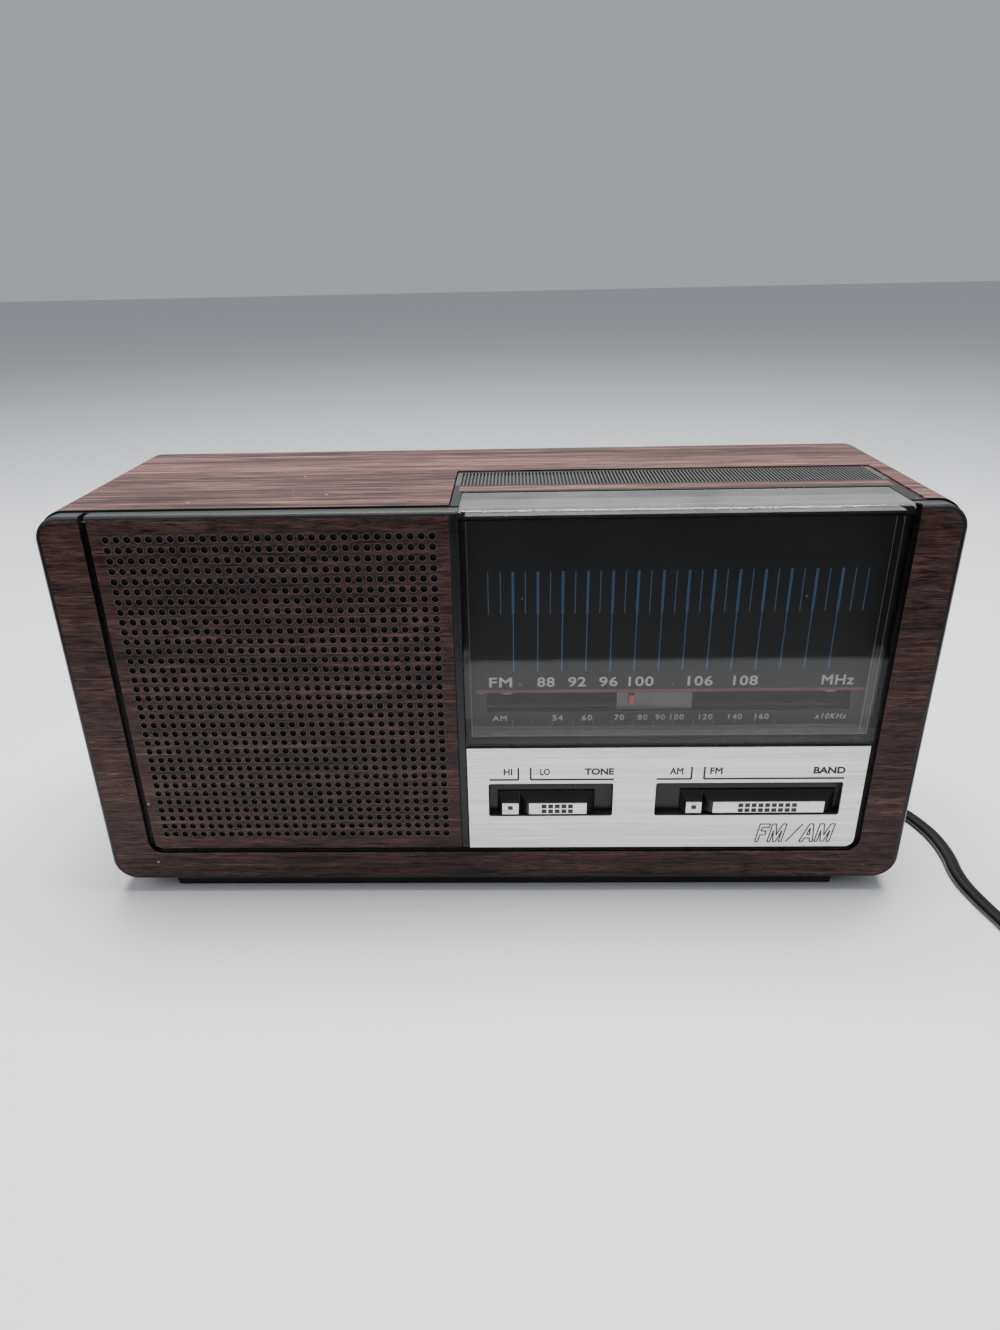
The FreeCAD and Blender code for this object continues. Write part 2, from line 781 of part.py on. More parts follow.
def dial():
    """Printed plate with the pointer's slot, in a tray behind the window, and the top insert."""
    slot = ("-4.0", "120.6")
    plate_blank = box(
        "dial_plate_blank",
        ("dial_left", "dial_right"),
        ("dial_depth", "dial_depth + 1"),
        ("window_bottom + 0.1", "136.3"),
    )
    plate_slot = box("dial_plate_slot", slot, ("dial_depth - 1", "dial_depth + 2"), ("69.0", "76.2"))
    keep(cut("dial_plate", plate_blank, [plate_slot]), "dial_plate")

    tray = box(
        "tray_block",
        ("dial_left - 2.8", "dial_right + 2.8"),
        ("plate_back", "tray_back"),
        ("58.8", "136.3"),
    )
    cavity = box(
        "tray_cavity",
        ("dial_left - 0.1", "dial_right + 0.1"),
        ("3", "dial_depth + 1"),
        ("window_bottom - 0.1", "138"),
    )
    opening = box("tray_opening", ("-6", "122.6"), ("dial_depth", "tray_back + 1"), ("66.5", "79"))
    lugs = []
    for number, x in enumerate((-11.0, 124.5)):
        lugs.append(box(f"rail_lug_{number}", (x, x + 4), ("tray_back - 1", "19.5"), ("64", "71.5")))
    for number, (x, height) in enumerate(TRAY_BOARD_POSTS):
        length = "board_depth - tray_back + 0.5"
        lugs.append(rod(f"tray_post_{number}", "y", "3.5", length, x, 13.0, height))
    holes = [opening]
    holes.append(rod("rail_bore", "x", "1.25", "200", -30, RAIL_DEPTH, RAIL_HEIGHT))
    for number, (x, height) in enumerate(TRAY_BOARD_POSTS):
        holes.append(rod(f"tray_post_bore_{number}", "y", "1.3", "9", x, 22.0, height))
    for number, x in enumerate(PULLEYS):
        holes.append(rod(f"pulley_pin_bore_{number}", "y", "1.5", "4", x, 11.5, PULLEY_HEIGHT))
    body = fuse("tray_body", [cut("tray_shell", tray, [cavity])] + lugs)
    keep(cut("dial_frame", body, holes), "dial_frame")
    dial_hood()


def dial_hood():
    """Top insert that fills the sleeve's notch: shelf under the window's leg, strip and ribs."""
    hood = box(
        "hood_block",
        ("notch_left + 0.4", "notch_right - 0.4"),
        ("rim_depth + 0.3", "hood_back"),
        ("137", "hood_top"),
    )
    tools = [
        box(
            "hood_leg_recess",
            ("dial_left - 0.2", "dial_right + 0.2"),
            ("0", "window_leg + 0.4"),
            ("window_top - window_wall - 0.2", "hood_top + 1"),
        ),
        box("hood_front_gap", ("dial_left - 0.2", "dial_right + 0.2"), ("0", "8.5"), ("130", "145")),
        box("hood_strip_recess", ("-12.4", "129.8"), ("26.6", "33.4"), ("hood_top - 0.8", "145")),
    ]
    first, last = -12.4, 129.8
    pitch = size("rib_pitch")
    gaps = []
    for number in range(int((last - first) / pitch)):
        gap = Part.makeBox(pitch / 2, 19.5, 2)
        gap.translate(at(first + (number + 0.25) * pitch, 35.0, size("hood_top") - 0.7))
        gaps.append(gap)
    tools.append(solid("rib_gaps", Part.makeCompound(gaps)))
    hollow = box(
        "hood_hollow",
        ("notch_left + 2.4", "notch_right - 2.4"),
        ("27.5", "hood_back - 2"),
        ("136", "hood_top - 2.2"),
    )
    tools.append(hollow)
    keep(cut("dial_hood", hood, tools), "dial_hood")
    strip = box("hood_trim_strip", ("-12.3", "129.7"), ("26.7", "33.3"), ("hood_top - 0.8", "hood_top"))
    keep(strip, "hood_trim_strip")


# ---------------------------------------------------------------- pointer and dial drive

PULLEY_HEIGHT = 78.75
PULLEYS = (3.0, 116.0)
PULLEY_FRONT, PULLEY_BACK = 17.0, 20.0
CORD_DEPTH = 18.5
RAIL_DEPTH, RAIL_HEIGHT = 16.8, 68.0
DRUM_X, DRUM_HEIGHT = 60.0, 106.0


def groove_offset():
    """From the bottom of a groove to the middle of the dial cord, with a little air."""
    return size("cord_radius") + 0.1


def cord_run_height():
    return PULLEY_HEIGHT - size("pulley_radius") - groove_offset()


def pointer():
    """Grey carriage that slides on a rail behind the slot, and the red pointer on its front."""
    run = cord_run_height()
    shown = box("carriage_plate", ("41", "67"), ("11.6", "12.6"), ("68.5", "77.5"))
    neck = box("carriage_neck", ("46", "62"), ("12.4", "15"), ("68.5", "70.5"))
    bush = rod("carriage_bush", "x", "2.6", "16", 46, RAIL_DEPTH, RAIL_HEIGHT)
    fork_stem = box("fork_stem", ("52", "56"), ("12.4", "16.2"), ("69", "77"))
    jaws = [
        box("upper_jaw", ("52", "56"), ("16", "19.4"), (run + 0.75, run + 2.0)),
        box("lower_jaw", ("52", "56"), ("16", "19.4"), (run - 2.0, run - 0.75)),
    ]
    bore = rod("carriage_bore", "x", "1.25 + running_gap", "30", 40, RAIL_DEPTH, RAIL_HEIGHT)
    body = fuse("carriage_body", [shown, neck, bush, fork_stem] + jaws)
    keep(cut("pointer_carriage", body, [bore]), "pointer_carriage")
    keep(box("dial_pointer", ("45.1", "47.0"), ("10.2", "11.6"), ("71.3", "75.0")), "dial_pointer")
    keep(rod("pointer_rail", "x", "1.25", "139.5", -11, RAIL_DEPTH, RAIL_HEIGHT), "pointer_rail")


def pulley(name, x):
    groove, flange = size("pulley_radius"), size("pulley_radius") + 1.2
    bore = 1.5 + size("running_gap")
    middle = (PULLEY_FRONT + PULLEY_BACK) / 2
    profile = [
        (bore, PULLEY_FRONT),
        (flange, PULLEY_FRONT),
        (flange, PULLEY_FRONT + 0.4),
        (groove, middle - 0.6),
        (groove, middle + 0.6),
        (flange, PULLEY_BACK - 0.4),
        (flange, PULLEY_BACK),
        (bore, PULLEY_BACK),
    ]
    keep(turned(name, profile, x, PULLEY_HEIGHT), name)


def pulleys():
    pulley("left_pulley", PULLEYS[0])
    pulley("right_pulley", PULLEYS[1])
    pins = []
    for x in PULLEYS:
        pin = Part.makeCylinder(1.5, 9.0, at(x, 11.8, PULLEY_HEIGHT), Vector(0, 1, 0))
        collar = Part.makeCylinder(2.4, 3.0, at(x, 13.8, PULLEY_HEIGHT), Vector(0, 1, 0))
        head = Part.makeCylinder(2.4, 0.7, at(x, 20.2, PULLEY_HEIGHT), Vector(0, 1, 0))
        pins.append(pin.fuse([collar, head]).removeSplitter())
    group("pulley_pins", pins)


def tuning_drum():
    """Grooved drum on the capacitor's shaft."""
    groove, flange = size("drum_radius"), size("drum_radius") + 1.2
    middle = (PULLEY_FRONT + PULLEY_BACK) / 2
    rim = 3.5
    profile = [
        (0, PULLEY_FRONT),
        (6, PULLEY_FRONT),
        (6, middle - 0.7),
        (groove - rim, middle - 0.7),
        (groove - rim, PULLEY_FRONT),
        (flange, PULLEY_FRONT),
        (flange, PULLEY_FRONT + 0.4),
        (groove, middle - 0.5),
        (groove, middle + 0.5),
        (flange, PULLEY_BACK - 0.4),
        (flange, PULLEY_BACK),
        (groove - rim, PULLEY_BACK),
        (groove - rim, middle + 0.7),
        (6, middle + 0.7),
        (6, PULLEY_BACK),
        (3, PULLEY_BACK),
        (3, 26.5),
        (0, 26.5),
    ]
    blank = turned("drum_blank", profile, DRUM_X, DRUM_HEIGHT)
    holes = []
    for number in range(5):
        turn = math.radians(90 + 72 * number)
        x = DRUM_X + 13.5 * math.cos(turn)
        height = DRUM_HEIGHT + 13.5 * math.sin(turn)
        holes.append(rod(f"drum_hole_{number}", "y", "4", "10", x, 14.0, height))
    keep(cut("tuning_drum", blank, holes), "tuning_drum")


def tuning_capacitor():
    block = box("capacitor_block", (DRUM_X - 11, DRUM_X + 11), ("22", "board_depth"), ("95", "117"))
    bore = rod("capacitor_bore", "y", "3 + running_gap", "5", DRUM_X, 22.0, DRUM_HEIGHT)
    keep(cut("tuning_capacitor", block, [bore]), "tuning_capacitor")


def edge_wheel(name, radius, x, height, profile):
    """A thumb wheel with a finely notched rim."""
    blank = turned(name + "_blank", profile, x, height)
    count = 60
    teeth = []
    for number in range(count):
        turn = 2 * math.pi * number / count
        centre = at(x + radius * math.cos(turn), WHEEL_FRONT - 1, height + radius * math.sin(turn))
        teeth.append(Part.makeCylinder(0.45, WHEEL_BACK - WHEEL_FRONT + 2, centre, Vector(0, 1, 0)))
    notches = solid(name + "_notches", Part.makeCompound(teeth))
    keep(cut(name, blank, [notches]), name)


def edge_wheels():
    """The tuning wheel with its cord spindle, its pin, the volume wheel with its shaft, the pot."""
    (_, tuning_radius, tuning_x, tuning_height), (_, volume_radius, volume_x, volume_height) = (
        wheel_places()
    )
    bore, spindle = 2.0 + size("running_gap"), size("spindle_radius")
    tuning_profile = [
        (bore, 17.2),
        (4.4, 17.2),
        (4.4, 17.6),
        (spindle, 17.9),
        (spindle, 19.1),
        (4.4, 19.5),
        (4.4, WHEEL_FRONT),
        (tuning_radius - 0.6, WHEEL_FRONT),
        (tuning_radius, WHEEL_FRONT + 0.6),
        (tuning_radius, WHEEL_BACK - 0.6),
        (tuning_radius - 0.6, WHEEL_BACK),
        (bore, WHEEL_BACK),
    ]
    edge_wheel("tuning_wheel", tuning_radius, tuning_x, tuning_height, tuning_profile)
    volume_profile = [
        (0, WHEEL_FRONT),
        (volume_radius - 0.6, WHEEL_FRONT),
        (volume_radius, WHEEL_FRONT + 0.6),
        (volume_radius, WHEEL_BACK - 0.6),
        (volume_radius - 0.6, WHEEL_BACK),
        (3, WHEEL_BACK),
        (3, 29.4),
        (0, 29.4),
    ]
    edge_wheel("volume_wheel", volume_radius, volume_x, volume_height, volume_profile)

    rear = size("board_depth") + size("board_thickness")
    forward = Vector(0, 1, 0)
    pin = Part.makeCylinder(2.0, rear - 15.6, at(tuning_x, 15.6, tuning_height), forward)
    head = Part.makeCylinder(3.4, 1.0, at(tuning_x, 15.6, tuning_height), forward)
    collar = Part.makeCylinder(3.4, 3.2, at(tuning_x, 26.8, tuning_height), forward)
    shape = pin.fuse([head, collar]).removeSplitter()
    keep(solid("tuning_wheel_pin", shape), "tuning_wheel_pin")

    case = rod("pot_case", "y", "8.5", "3.2", volume_x, 26.8, volume_height)
    case_bore = rod("pot_bore", "y", "3 + running_gap", "2.8", volume_x, 26.8, volume_height)
    keep(cut("volume_control", case, [case_bore]), "volume_control")


def dial_cord():
    """One cord round the spindle, both pulleys and the drum, with its two ends at the drum."""
    air = groove_offset()
    _, _, tuning_x, tuning_height = wheel_places()[0]
    circles = [
        (DRUM_X, DRUM_HEIGHT, size("drum_radius") + air),
        (PULLEYS[0], PULLEY_HEIGHT, size("pulley_radius") + air),
        (PULLEYS[1], PULLEY_HEIGHT, size("pulley_radius") + air),
        (tuning_x, tuning_height, size("spindle_radius") + air),
        (DRUM_X, DRUM_HEIGHT, size("drum_radius") + air),
    ]
    runs = [outer_tangent(first, second) for first, second in zip(circles, circles[1:])]
    top = math.radians(90)
    edges = [belt_arc(circles[0], top + 0.15, runs[0][2])]
    for number, (start, end, turn) in enumerate(runs):
        edges.append(Part.makeLine(start, end))
        following = runs[number + 1][2] if number + 1 < len(runs) else top + 2 * math.pi - 0.15
        edges.append(belt_arc(circles[number + 1], turn, following))
    path = Part.Wire(edges)
    begin = path.Edges[0].firstVertex().Point
    tangent = path.Edges[0].tangentAt(path.Edges[0].FirstParameter)
    ring = Part.Wire(Part.makeCircle(size("cord_radius"), begin, tangent))
    keep(solid("dial_cord", path.makePipeShell([ring], True, True)), "dial_cord")
    print(f"dial cord length {path.Length:.0f} mm")


def outer_tangent(first, second):
    """The straight run between two circles that a belt going round anticlockwise makes."""
    (x1, z1, r1), (x2, z2, r2) = first, second
    along = math.atan2(z2 - z1, x2 - x1)
    lean = math.asin((r1 - r2) / math.hypot(x2 - x1, z2 - z1))
    turn = along - math.pi / 2 + lean
    offset = (math.cos(turn), math.sin(turn))
    start = at(x1 + r1 * offset[0], CORD_DEPTH, z1 + r1 * offset[1])
    end = at(x2 + r2 * offset[0], CORD_DEPTH, z2 + r2 * offset[1])
    return start, end, turn


def belt_arc(circle, start, end):
    """The part of a circle, seen from the front, from one angle anticlockwise to another."""
    x, height, radius = circle
    while end < start:
        end += 2 * math.pi
    while end - start > 2 * math.pi:
        end -= 2 * math.pi
    turns = (start, (start + end) / 2, end)
    points = [
        at(x + radius * math.cos(turn), CORD_DEPTH, height + radius * math.sin(turn)) for turn in turns
    ]
    return Part.Arc(*points).toShape()


# ---------------------------------------------------------------- chassis


def main_board():
    board = box(
        "board_blank",
        ("-6", "133"),
        ("board_depth", "board_depth + board_thickness"),
        ("21.5", "124"),
    )
    _, _, tuning_x, tuning_height = wheel_places()[0]
    holes = [rod("board_pin_hole", "y", "2", "10", tuning_x, 26.0, tuning_height)]
    for number, (x, height) in enumerate(BEZEL_BOARD_POSTS + TRAY_BOARD_POSTS):
        holes.append(rod(f"board_hole_{number}", "y", "1.6", "10", x, 26.0, height))
    keep(cut("main_board", board, holes), "main_board")
    rear = size("board_depth") + size("board_thickness")
    group(
        "board_screws",
        [
            screw(1.25, 2.8, 1.8, 8.0, at(x, rear - 8.0, height), Vector(0, 1, 0))
            for x, height in BEZEL_BOARD_POSTS + TRAY_BOARD_POSTS
        ],
    )


def board_parts():
    """What is soldered to the rear of the board."""
    rear = size("board_depth") + size("board_thickness")
    forward = Vector(0, 1, 0)
    cans = []
    for x, height, radius, length in (
        (18.0, 40.0, 6.5, 22.0),
        (36.0, 40.0, 5.0, 16.0),
        (18.0, 60.0, 5.0, 16.0),
        (34.0, 58.0, 4.0, 12.0),
    ):
        cans.append(Part.makeCylinder(radius, length, at(x, rear, height), forward))
    group("electrolytic_capacitors", cans)
    shields = []
    for x in (62.0, 76.0, 90.0, 104.0):
        can = Part.makeBox(8, 11, 8)
        can.translate(at(x - 4, rear, 60))
        core = Part.makeCylinder(1.8, 0.8, at(x, rear + 11, 64), forward)
        shields.append(can.fuse(core).removeSplitter())
    group("if_transformers", shields)
    keep(box("amplifier_chip", ("50", "70"), (rear, rear + 3.4), ("36", "43")), "amplifier_chip")
    sink = box("sink_plate", ("48", "72"), (rear + 3.4, rear + 5.0), ("32", "50"))
    fins = [
        box(f"sink_fin_{number}", (x, x + 1.2), (rear + 4.6, rear + 13), ("32", "50"))
        for number, x in enumerate((48.0, 55.6, 63.2, 70.8))
    ]
    keep(fuse("heat_sink", [sink] + fins), "heat_sink")


def ferrite_antenna():
    """Ferrite rod in two holders on the board, with its coil."""
    depth, height = 47.0, 116.0
    rear = size("board_depth") + size("board_thickness")
    keep(rod("ferrite_rod", "x", "5", "110", 4, depth, height), "ferrite_rod")
    coil = Part.makeCylinder(6.6, 22, at(22, depth, height), Vector(1, 0, 0))
    hole = Part.makeCylinder(5.0, 22, at(22, depth, height), Vector(1, 0, 0))
    keep(solid("antenna_coil", coil.cut(hole)), "antenna_coil")
    holders = []
    for x in (12.0, 102.0):
        arm = Part.makeBox(4, depth - rear + 7, 13)
        arm.translate(at(x, rear, height - 6.5))
        bore = Part.makeCylinder(5.0, 4, at(x, depth, height), Vector(1, 0, 0))
        holders.append(arm.cut(bore))
    group("rod_holders", holders)


def transformer():
    """Mains transformer on a bracket on the sleeve's floor."""
    floor = size("foot_height") + size("sleeve_wall")
    centre = TRANSFORMER_CENTRE
    front, back = TRANSFORMER_DEPTH - 8, TRANSFORMER_DEPTH + 8
    base = box("bracket_base", (centre - 32, centre + 32), (front, back), (floor, floor + 1.5))
    core_bottom = floor + 1.5
    high = (floor, core_bottom + 30)
    walls = [
        box("bracket_left", (centre - 22.6, centre - 21.1), (front, back), high),
        box("bracket_right", (centre + 21.1, centre + 22.6), (front, back), high),
    ]
    holes = [
        rod(f"bracket_hole_{number}", "z", "1.7", "4", x, depth, floor - 1)
        for number, (x, depth) in enumerate(EARS)
    ]
    keep(cut("transformer_bracket", fuse("bracket", [base] + walls), holes), "transformer_bracket")
    stack = box("core_stack", (centre - 21, centre + 21), (front, back), (core_bottom, core_bottom + 35))
    tall = (core_bottom + 6, core_bottom + 29)
    windows = [
        box("core_window_left", (centre - 14, centre - 7), ("50", "90"), tall),
        box("core_window_right", (centre + 7, centre + 14), ("50", "90"), tall),
    ]
    keep(cut("transformer_core", stack, windows), "transformer_core")
    winding = box(
        "winding_block",
        (centre - 13.8, centre + 13.8),
        (front - 7, back + 7),
        (core_bottom + 6.2, core_bottom + 28.8),
    )
    bore = box(
        "winding_bore",
        (centre - 7, centre + 7),
        (front, back),
        (core_bottom, core_bottom + 40),
    )
    keep(cut("transformer_winding", winding, [bore]), "transformer_winding")
    group(
        "transformer_screws",
        [screw(1.6, 3.0, 1.8, 4.2, at(x, depth, floor - 2.7), Vector(0, 0, 1)) for x, depth in EARS],
    )


# ---------------------------------------------------------------- loudspeaker


def loudspeaker():
    """Round loudspeaker on the rear of the face plate."""
    x, height = size("speaker_centre"), size("speaker_height")
    opening = size("speaker_opening")
    frame_profile = [
        (opening + 0.5, 4.0),
        (opening + 5, 4.0),
        (opening + 5, 5.2),
        (opening + 1.2, 5.2),
        (opening - 1, 12.0),
        (22, 26.4),
        (22, 28.0),
        (12, 28.0),
        (12, 26.8),
        (20.8, 26.8),
        (opening - 2.6, 11.5),
    ]
    blank = turned("speaker_blank", frame_profile, x, height)
    windows = []
    for number in range(4):
        turn = math.radians(45 + 90 * number)
        centre = (x + 34 * math.cos(turn), height + 34 * math.sin(turn))
        windows.append(rod(f"basket_window_{number}", "y", "8", "18", centre[0], 9.0, centre[1]))
    for number, (hole_x, hole_height) in enumerate(speaker_fixings()):
        windows.append(rod(f"flange_hole_{number}", "y", "1.6", "4", hole_x, 3.0, hole_height))
    keep(cut("speaker_frame", blank, windows), "speaker_frame")
    group(
        "speaker_screws",
        [
            screw(1.5, 1.9, 1.6, 3.0, at(hole_x, 2.2, hole_height), Vector(0, 1, 0))
            for hole_x, hole_height in speaker_fixings()
        ],
    )
    cone_profile = [
        (0, 16.0),
        (6, 17.2),
        (9.5, 20.0),
        (opening - 6, 7.4),
        (opening - 3.5, 5.6),
        (opening - 1, 7.2),
        (opening - 1, 7.8),
        (opening - 3.5, 6.3),
        (opening - 5.6, 8.1),
        (9.5, 20.9),
        (5.6, 17.8),
        (0, 16.6),
    ]
    keep(turned("speaker_cone", cone_profile, x, height), "speaker_cone")
    magnet_profile = [
        (0, 28.0),
        (20, 28.0),
        (20, 29.5),
        (24, 29.5),
        (24, 39.5),
        (20, 39.5),
        (20, 41.0),
        (0, 41.0),
    ]
    keep(turned("speaker_magnet", magnet_profile, x, height), "speaker_magnet")


# ---------------------------------------------------------------- rear


def rear_cover():
    """Flat cover inside the sleeve's rear end, with vents, screw holes and the cord hole."""
    blank = plate(
        "cover_blank",
        lambda sketch: rounded_rectangle(sketch, "spigot_width", "spigot_height", "spigot_corner"),
        "rear_cover_thickness",
        size("rear_cover_front") + size("rear_cover_thickness"),
        centre_height=middle_height(),
    )
    tools = []
    for number, (x, height) in enumerate(POSTS):
        tools.append(rod(f"cover_hole_{number}", "y", "1.7", "10", x, 90.0, height))
    slots = []
    for left in (-112.0, 16.0):
        for row in range(9):
            slot = Part.makeBox(84, 10, 3)
            slot.translate(at(left, 90.0, 58 + row * 7.5))
            slots.append(slot)
    tools.append(solid("cover_vents", Part.makeCompound(slots)))
    tools.append(rod("cover_cord_hole", "y", "5", "10", EXIT[0], 90.0, EXIT[2]))
    keep(cut("rear_cover", blank, tools), "rear_cover")
    outside = size("rear_cover_front") + size("rear_cover_thickness")
    group(
        "rear_screws",
        [
            screw(1.25, 3.2, 2.0, 12.0, at(x, outside - 12.0, height), Vector(0, 1, 0))
            for x, height in POSTS
        ],
    )


# ---------------------------------------------------------------- mains cord

EXIT = (108.0, 120.0, 24.0)
FLOOR = 2.7
COIL_CENTRE = (206.0, -50.0)
ROUTE = [
    EXIT,
    (108.3, 132.0, 22.3),
    (112.5, 145.0, 17.0),
    (122.0, 155.0, 10.0),
    (135.5, 159.0, 4.2),
    (149.5, 156.0, FLOOR),
    (160.0, 146.0, FLOOR),
    (165.0, 131.0, FLOOR),
    (165.0, 113.0, FLOOR),
    (160.5, 95.0, FLOOR),
    (158.5, 77.0, FLOOR),
    (162.5, 59.0, FLOOR),
    (171.0, 40.0, FLOOR),
    (172.5, 22.0, FLOOR),
    (169.5, 5.0, FLOOR),
    (171.5, -10.0, FLOOR),
    (177.0, -27.0, FLOOR),
    (178.5, -43.0, FLOOR),
]


def strain_relief():
    """Grommet in the rear cover, tapered towards the cord."""
    x, tip, height = EXIT
    outside = size("rear_cover_front") + size("rear_cover_thickness")
    half_cord = size("mains_cord_width") / 2
    profile = [
        (0, outside - 4.0),
        (6.8, outside - 4.0),
        (6.8, outside - 2.5),
        (4.9, outside - 2.5),
        (4.9, outside),
        (7.2, outside),
        (7.2, outside + 1.5),
        (5.2, outside + 2.0),
        (half_cord + 0.7, tip),
        (0, tip),
    ]
    keep(turned("cord_strain_relief", profile, x, height), "cord_strain_relief")


def rounded_path(points):
    """Straight runs joined by tangent arcs, each as large as its two runs allow."""
    edges, radii, start = [], [], points[0]
    for before, corner, after in zip(points, points[1:], points[2:]):
        to_before, to_after = before - corner, after - corner
        shorter = min(to_before.Length, to_after.Length)
        half_turn = (math.pi - to_before.getAngle(to_after)) / 2
        reach = 0.45 * shorter
        radii.append(reach / math.tan(half_turn))
        toward_before, toward_after = Vector(to_before), Vector(to_after)
        toward_before.normalize()
        toward_after.normalize()
        arc_start, arc_end = corner + toward_before * reach, corner + toward_after * reach
        inward = toward_before + toward_after
        inward.normalize()
        to_centre = radii[-1] / math.cos(half_turn)
        middle = corner + inward * (to_centre - radii[-1])
        edges.append(Part.LineSegment(start, arc_start).toShape())
        edges.append(Part.Arc(arc_start, middle, arc_end).toShape())
        start = arc_end
    edges.append(Part.LineSegment(start, points[-1]).toShape())
    return Part.Wire(edges), radii


def mains_cord():
    """The flat cord as a plain tube of its width, its coil, and the plug on its end."""
    radius = size("mains_cord_width") / 2
    path, radii = rounded_path([at(*point) for point in ROUTE])
    ring = Part.Wire(Part.makeCircle(radius, at(*ROUTE[0]), at(*ROUTE[1]) - at(*ROUTE[0])))
    tube = path.makePipeShell([ring], True, True)
    print("cord radii", [round(length, 1) for length in radii])
    share = tube.Volume / (math.pi * radius**2 * path.Length)
    print(f"cord length {path.Length:.0f} mm, volume is {share:.3f} of section times length")
    keep(solid("power_cord", tube), "power_cord")

    outer, inner = size("coil_radius") + 6.0, size("coil_radius") - 6.0
    centre = at(COIL_CENTRE[0], COIL_CENTRE[1], 0)
    coil = Part.makeCylinder(outer, size("coil_height"), centre)
    hole = Part.makeCylinder(inner, size("coil_height"), centre)
    keep(solid("power_cord_coil", coil.cut(hole)), "power_cord_coil")
    plug()


PLUG_START, PLUG_NECK, PLUG_LENGTH = 18.0, 12.0, 24.0


def plug():
    """Two-pin plug beside the coil, with its neck towards the coil."""
    x = COIL_CENTRE[0] + size("coil_radius")
    start = COIL_CENTRE[1] + PLUG_START
    middle = 6.0
    half_cord = size("mains_cord_width") / 2
    neck_end = start + PLUG_NECK
    ends = []
    for depth, half_width, half_height in ((start, half_cord + 0.6, 2.6), (neck_end, 5.5, 4.5)):
        corners = corners_of(half_width, half_height)
        ends.append(Part.makePolygon([at(x + u, depth, middle + w) for u, w in corners]))
    neck = Part.makeLoft(ends, True, True)
    grip = Part.makeBox(22, PLUG_LENGTH, 12)
    grip.translate(at(x - 11, neck_end, 0))
    along = [edge for edge in grip.Edges if abs(edge.tangentAt(edge.FirstParameter).y) > 0.99]
    grip = grip.makeFillet(3.0, along)
    keep(solid("power_plug", neck.fuse(grip).removeSplitter()), "power_plug")
    blades = []
    for side in (-6.35, 6.35):
        blade = Part.makeBox(1.5, 16, 6.4)
        blade.translate(at(x + side - 0.75, neck_end + PLUG_LENGTH, middle - 3.2))
        blades.append(blade)
    group("plug_blades", blades)


def corners_of(half_width, half_height):
    corners = [(-1, -1), (1, -1), (1, 1), (-1, 1), (-1, -1)]
    return [(u * half_width, w * half_height) for u, w in corners]


# ---------------------------------------------------------------- build, test and write


def build():
    fill_sheet()
    for make in (
        sleeve,
        base_plinth,
        base_screws,
        front_bezel,
        front_trim,
        grille,
        control_panel,
        sliders,
        dial_window,
        dial,
        pointer,
        pulleys,
        tuning_drum,
        tuning_capacitor,
        edge_wheels,
        dial_cord,
        main_board,
        board_parts,
        ferrite_antenna,
        transformer,
        loudspeaker,
        rear_cover,
        strain_relief,
        mains_cord,
    ):
        make()
    doc.recompute()


def write():
    for item in doc.Objects:
        faults = {"Invalid", "Error"} & set(item.State)
        assert not faults, f"{item.Name} is {faults}"
    os.makedirs("parts", exist_ok=True)
    for node in nodes:
        shape = node.Shape
        assert not shape.isNull() and shape.isValid(), f"{node.Label} has a faulty shape"
        assert shape.Solids, f"{node.Label} has no solid"
        shape.exportStep(f"parts/{node.Label}.step")
    print(len(nodes), "sub-parts")


build()
write()
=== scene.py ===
"""Looks, light and camera for the table radio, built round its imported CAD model.

Places are given in millimetres as the CAD source gives them: X to the right from the middle of
the cabinet, depth rearwards from the front face, height above the surface it stands on.
"""

import math

import bpy
from mathutils import Matrix, Vector


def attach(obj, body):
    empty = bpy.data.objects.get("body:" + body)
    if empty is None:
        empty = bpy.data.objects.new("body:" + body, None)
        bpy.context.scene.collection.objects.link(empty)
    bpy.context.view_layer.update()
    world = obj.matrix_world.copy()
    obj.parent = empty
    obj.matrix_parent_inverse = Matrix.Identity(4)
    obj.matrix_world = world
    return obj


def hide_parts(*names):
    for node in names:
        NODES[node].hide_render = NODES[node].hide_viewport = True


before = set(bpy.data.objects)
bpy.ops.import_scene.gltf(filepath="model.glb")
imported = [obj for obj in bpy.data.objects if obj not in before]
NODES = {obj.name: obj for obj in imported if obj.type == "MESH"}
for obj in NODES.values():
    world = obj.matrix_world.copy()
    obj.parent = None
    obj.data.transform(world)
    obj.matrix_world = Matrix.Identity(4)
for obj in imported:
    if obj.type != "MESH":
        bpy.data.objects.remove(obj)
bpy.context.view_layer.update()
MM = 0.001
CABINET_DEPTH = 99.0
HOOD_TOP = 142.1
RIBS_FRONT, RIBS_BACK = 35.0, 54.6
# The front's foil ends this deep, and the sleeve's begins this deep.
FRONT_FOIL_END = 0.06
SLEEVE_FOIL_START = 5.9
PLASTIC_DUST = (0.35, 0.34, 0.33)


def at(x, depth, height):
    """The point in metres, in the row frame, at this place in the cabinet in millimetres."""
    return Vector((x, depth - CABINET_DEPTH / 2, height)) * MM


# ---------------------------------------------------------------- camera, floor and lights


def make_camera():
    camera = bpy.data.objects.new("camera", bpy.data.cameras.new("camera"))
    bpy.context.scene.collection.objects.link(camera)
    right = Vector((0.9995, 0.0231, -0.0200))
    forward = Vector((-0.0296, 0.8931, -0.4488)).normalized()
    up = right.cross(forward).normalized()
    right = forward.cross(up)
    turn = Matrix((right, up, -forward)).transposed()
    camera.matrix_world = Matrix.Translation(at(6.4, -280.8, 210.3)) @ turn.to_4x4()
    camera.data.lens = 25.1
    camera.data.shift_x = 0.0078
    camera.data.shift_y = 0.0448
    camera.data.clip_start = 0.01
    bpy.context.scene.camera = camera


# ---------------------------------------------------------------- node materials


